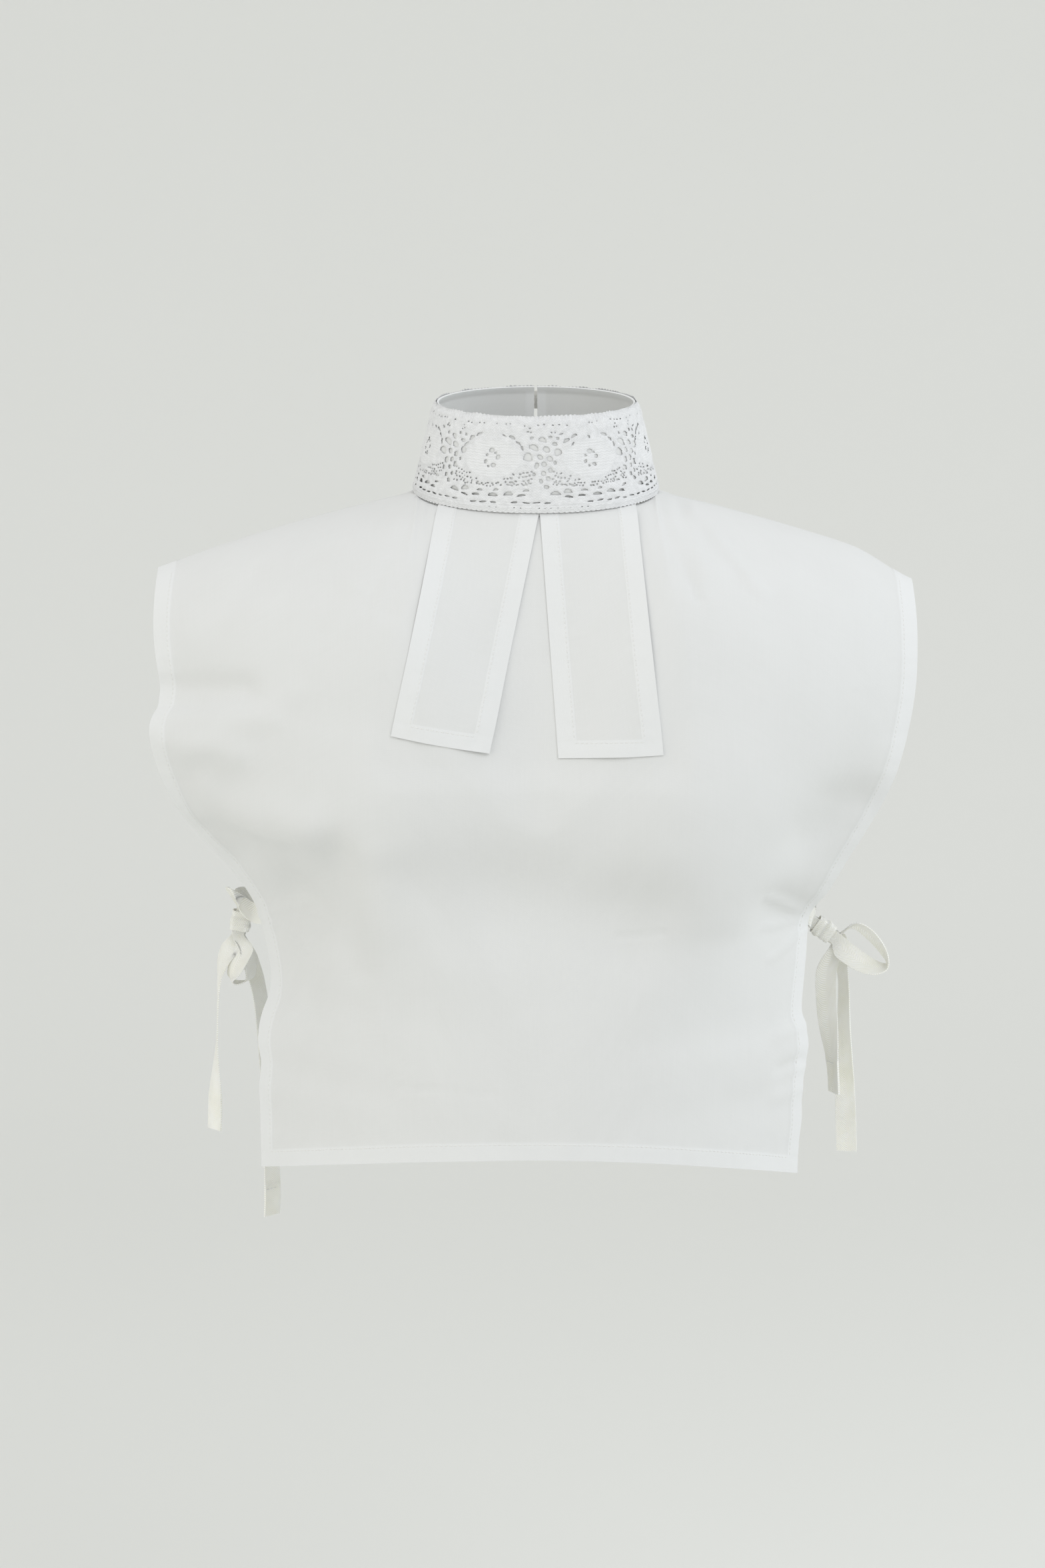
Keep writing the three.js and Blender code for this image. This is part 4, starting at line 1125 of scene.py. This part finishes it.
def makeCloth(finish):
    material, tree, shader = newMaterial(finish["name"])
    cloth = addNode(tree, "UVMap", {}, uv_map="clothMap").outputs[0]
    layers = addNode(tree, "Attribute", {}, attribute_name="layers").outputs["Fac"]
    effect = addNode(tree, "Group", {}, node_tree=finish["group"])
    setInputs(tree, effect, {"Map": cloth, **({"Petal": layers} if "Petal" in effect.inputs else {})})
    dark, light = finish["shade"]
    spread = {"Value": effect.outputs["Shade"], "From Min": dark, "From Max": light}
    tone = addNode(tree, "MapRange", spread).outputs[0]
    # for lace and tape this mix lays painted shade into the grooves of the threads
    plain = mixColours(tree, tone, (*finish["low"], 1), (*finish["high"], 1))
    lifted = addMath(tree, "MULTIPLY", layers, finish["lift"])
    smooth, rough = finish["rough"]
    setInputs(tree, shader, {
        "Base Color": mixColours(tree, lifted, plain, (*finish["doubled"], 1)),
        "Roughness": addNode(tree, "MapRange", {"Value": tone, "To Min": smooth, "To Max": rough}).outputs[0],
        "Normal": addBump(tree, effect.outputs["Height"], finish["bump"], finish["depth"]),
        "Sheen Weight": finish["sheen"], "Sheen Roughness": 0.6, "Specular IOR Level": 0.25,
        "Subsurface Weight": finish["through"], "Subsurface Scale": 0.0018,
        "Subsurface Radius": (1, 0.97, 0.86),
    })
    return material


def makePlain(name, low, high, rough, scale, bumpDepth):
    # small hard or thready things: a little mottling and grain on Object coordinates
    material, tree, shader = newMaterial(name)
    mottle = addNoise(tree, addNode(tree, "TexCoord", {}).outputs["Object"], (1, 1, 1), scale, 4)
    span = {"Value": mottle, "To Min": rough[0], "To Max": rough[1]}
    setInputs(tree, shader, {
        "Base Color": mixColours(tree, mottle, (*low, 1), (*high, 1)),
        "Roughness": addNode(tree, "MapRange", span).outputs[0],
        "Normal": addBump(tree, mottle, 0.4, bumpDepth),
    })
    return material


materials = {}
for clothTone, surface in zip(clothTones, clothSurfaces):
    materials[clothTone["name"]] = makeCloth({**clothTone, **surface})
for name, low, high, rough, scale, bumpDepth in (
    ("sewingThread", (0.74, 0.74, 0.72), (0.87, 0.87, 0.85), (0.6, 0.8), 2600, 0.00005),
    ("shellButton", (0.74, 0.73, 0.68), (0.88, 0.87, 0.83), (0.2, 0.38), 320, 0.00002),
):
    materials[name] = makePlain(name, low, high, rough, scale, bumpDepth)


def dress(piece, material, nodes=()):
    piece.data.materials.clear()
    piece.data.materials.append(materials[material])
    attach(piece, "root")
    if nodes:
        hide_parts(*nodes)


dress(frontCloth, "washedCotton", ["front_panel"])
dress(backCloth, "washedCotton", ["back_panel"])
dress(collarStand, "washedCotton", ["collar_stand"])
dress(collarLace, "cottonLace", ["collar_lace"])
for piece, node in zip(bandPieces, ("left_band", "right_band")):
    dress(piece, "washedCotton", [node])
for side in ("left", "right"):
    dress(tapePieces[side + "FrontTie"], "twillTape", [side + "_front_tie"])
    dress(tapePieces[side + "BackTie"], "twillTape", [side + "_back_tie"])
    dress(knotPieces[side + "Knot"], "twillTape", [side + "_bow_knot"])
dress(collarButton, "shellButton", ["collar_button"])
for name, piece in stitchPieces.items():
    dress(piece, "sewingThread")

print("materials made")

# backdrop, light and camera
studio = {
    "floor": -0.95, "wall": 3.6, "curve": 1.6, "halfWidth": 7.0, "front": -6.0, "top": 5.0,
    "tone": (0.815, 0.82, 0.79), "ambient": 0.73, "air": (0.99, 0.995, 1.0),
    "lights": namedRows(("name", "at", "size", "power", "tint"), [
        ("key", (1.4, -2.4, 2.2), 2.0, 27, (0.93, 0.965, 1)),
        ("fill", (-2.6, -1.6, 0.6), 2.6, 20, (1, 0.985, 0.88)),
        ("rim", (2.7, 0.2, 0.7), 1.8, 17, (0.88, 0.95, 1)),
        ("overhead", (0.2, 0.3, 2.6), 2.4, 3, (1, 1, 0.97)),
    ]),
    "lightsFace": (0, 0, -0.2),
    "camera": {"at": (-0.008, -2.370, 0.195), "tip": 81, "focus": 6000, "height": 2352, "sensor": 36},
}


def addBackdrop():
    bpy.ops.object.select_all(action="DESELECT")
    bpy.ops.mesh.primitive_grid_add(x_subdivisions=4, y_subdivisions=60, size=2)
    piece, s = newPiece("studioSweep"), studio
    run = [s["wall"] - s["curve"] - s["front"], s["curve"] * math.pi / 2, s["top"] - s["floor"] - s["curve"]]
    for vertex in piece.data.vertices:
        far = (vertex.co.y + 1) / 2 * sum(run)
        if far < run[0]:
            y, z = s["front"] + far, s["floor"]
        elif far < run[0] + run[1]:
            turn = (far - run[0]) / s["curve"]
            y = s["wall"] - s["curve"] + s["curve"] * math.sin(turn)
            z = s["floor"] + s["curve"] * (1 - math.cos(turn))
        else:
            y, z = s["wall"], s["floor"] + s["curve"] + far - run[0] - run[1]
        vertex.co = (vertex.co.x * s["halfWidth"], y, z)
    bpy.ops.object.shade_smooth()
    material, tree, shader = newMaterial("sweepPaper")
    mottle = addNoise(tree, addNode(tree, "TexCoord", {}).outputs["Object"], (1, 1, 1), 1.2, 2)
    tone = mixColours(tree, mottle, (*[c * 0.985 for c in s["tone"]], 1), (*s["tone"], 1))
    setInputs(tree, shader, {"Base Color": tone, "Roughness": 0.95})
    piece.data.materials.append(material)


def addLights():
    for light in studio["lights"]:
        data = bpy.data.lights.new(light["name"], "AREA")
        data.energy, data.size, data.color = light["power"], light["size"], light["tint"]
        lamp = addObject(light["name"], data)
        away = np.array(studio["lightsFace"]) - np.array(light["at"])
        lamp.location = light["at"]
        lamp.rotation_euler = (
            math.acos(-away[2] / np.linalg.norm(away)), 0, math.atan2(away[1], away[0]) - math.pi / 2)
    world = bpy.data.worlds.new("softRoom")
    world.use_nodes = True
    air = {"Color": (*studio["air"], 1), "Strength": studio["ambient"]}
    setInputs(world.node_tree, world.node_tree.nodes["Background"], air)
    bpy.context.scene.world = world
    bpy.context.scene.view_settings.view_transform = "Standard"


def addCamera():
    view = studio["camera"]
    data = bpy.data.cameras.new("view")
    data.sensor_fit, data.sensor_width = "AUTO", view["sensor"]
    data.lens = view["focus"] / view["height"] * view["sensor"]
    data.clip_end = 30
    camera = addObject("view", data)
    camera.location = view["at"]
    camera.rotation_euler = (math.radians(view["tip"]), 0, 0)
    bpy.context.scene.camera = camera


addBackdrop()
addLights()
addCamera()
print("studio set")
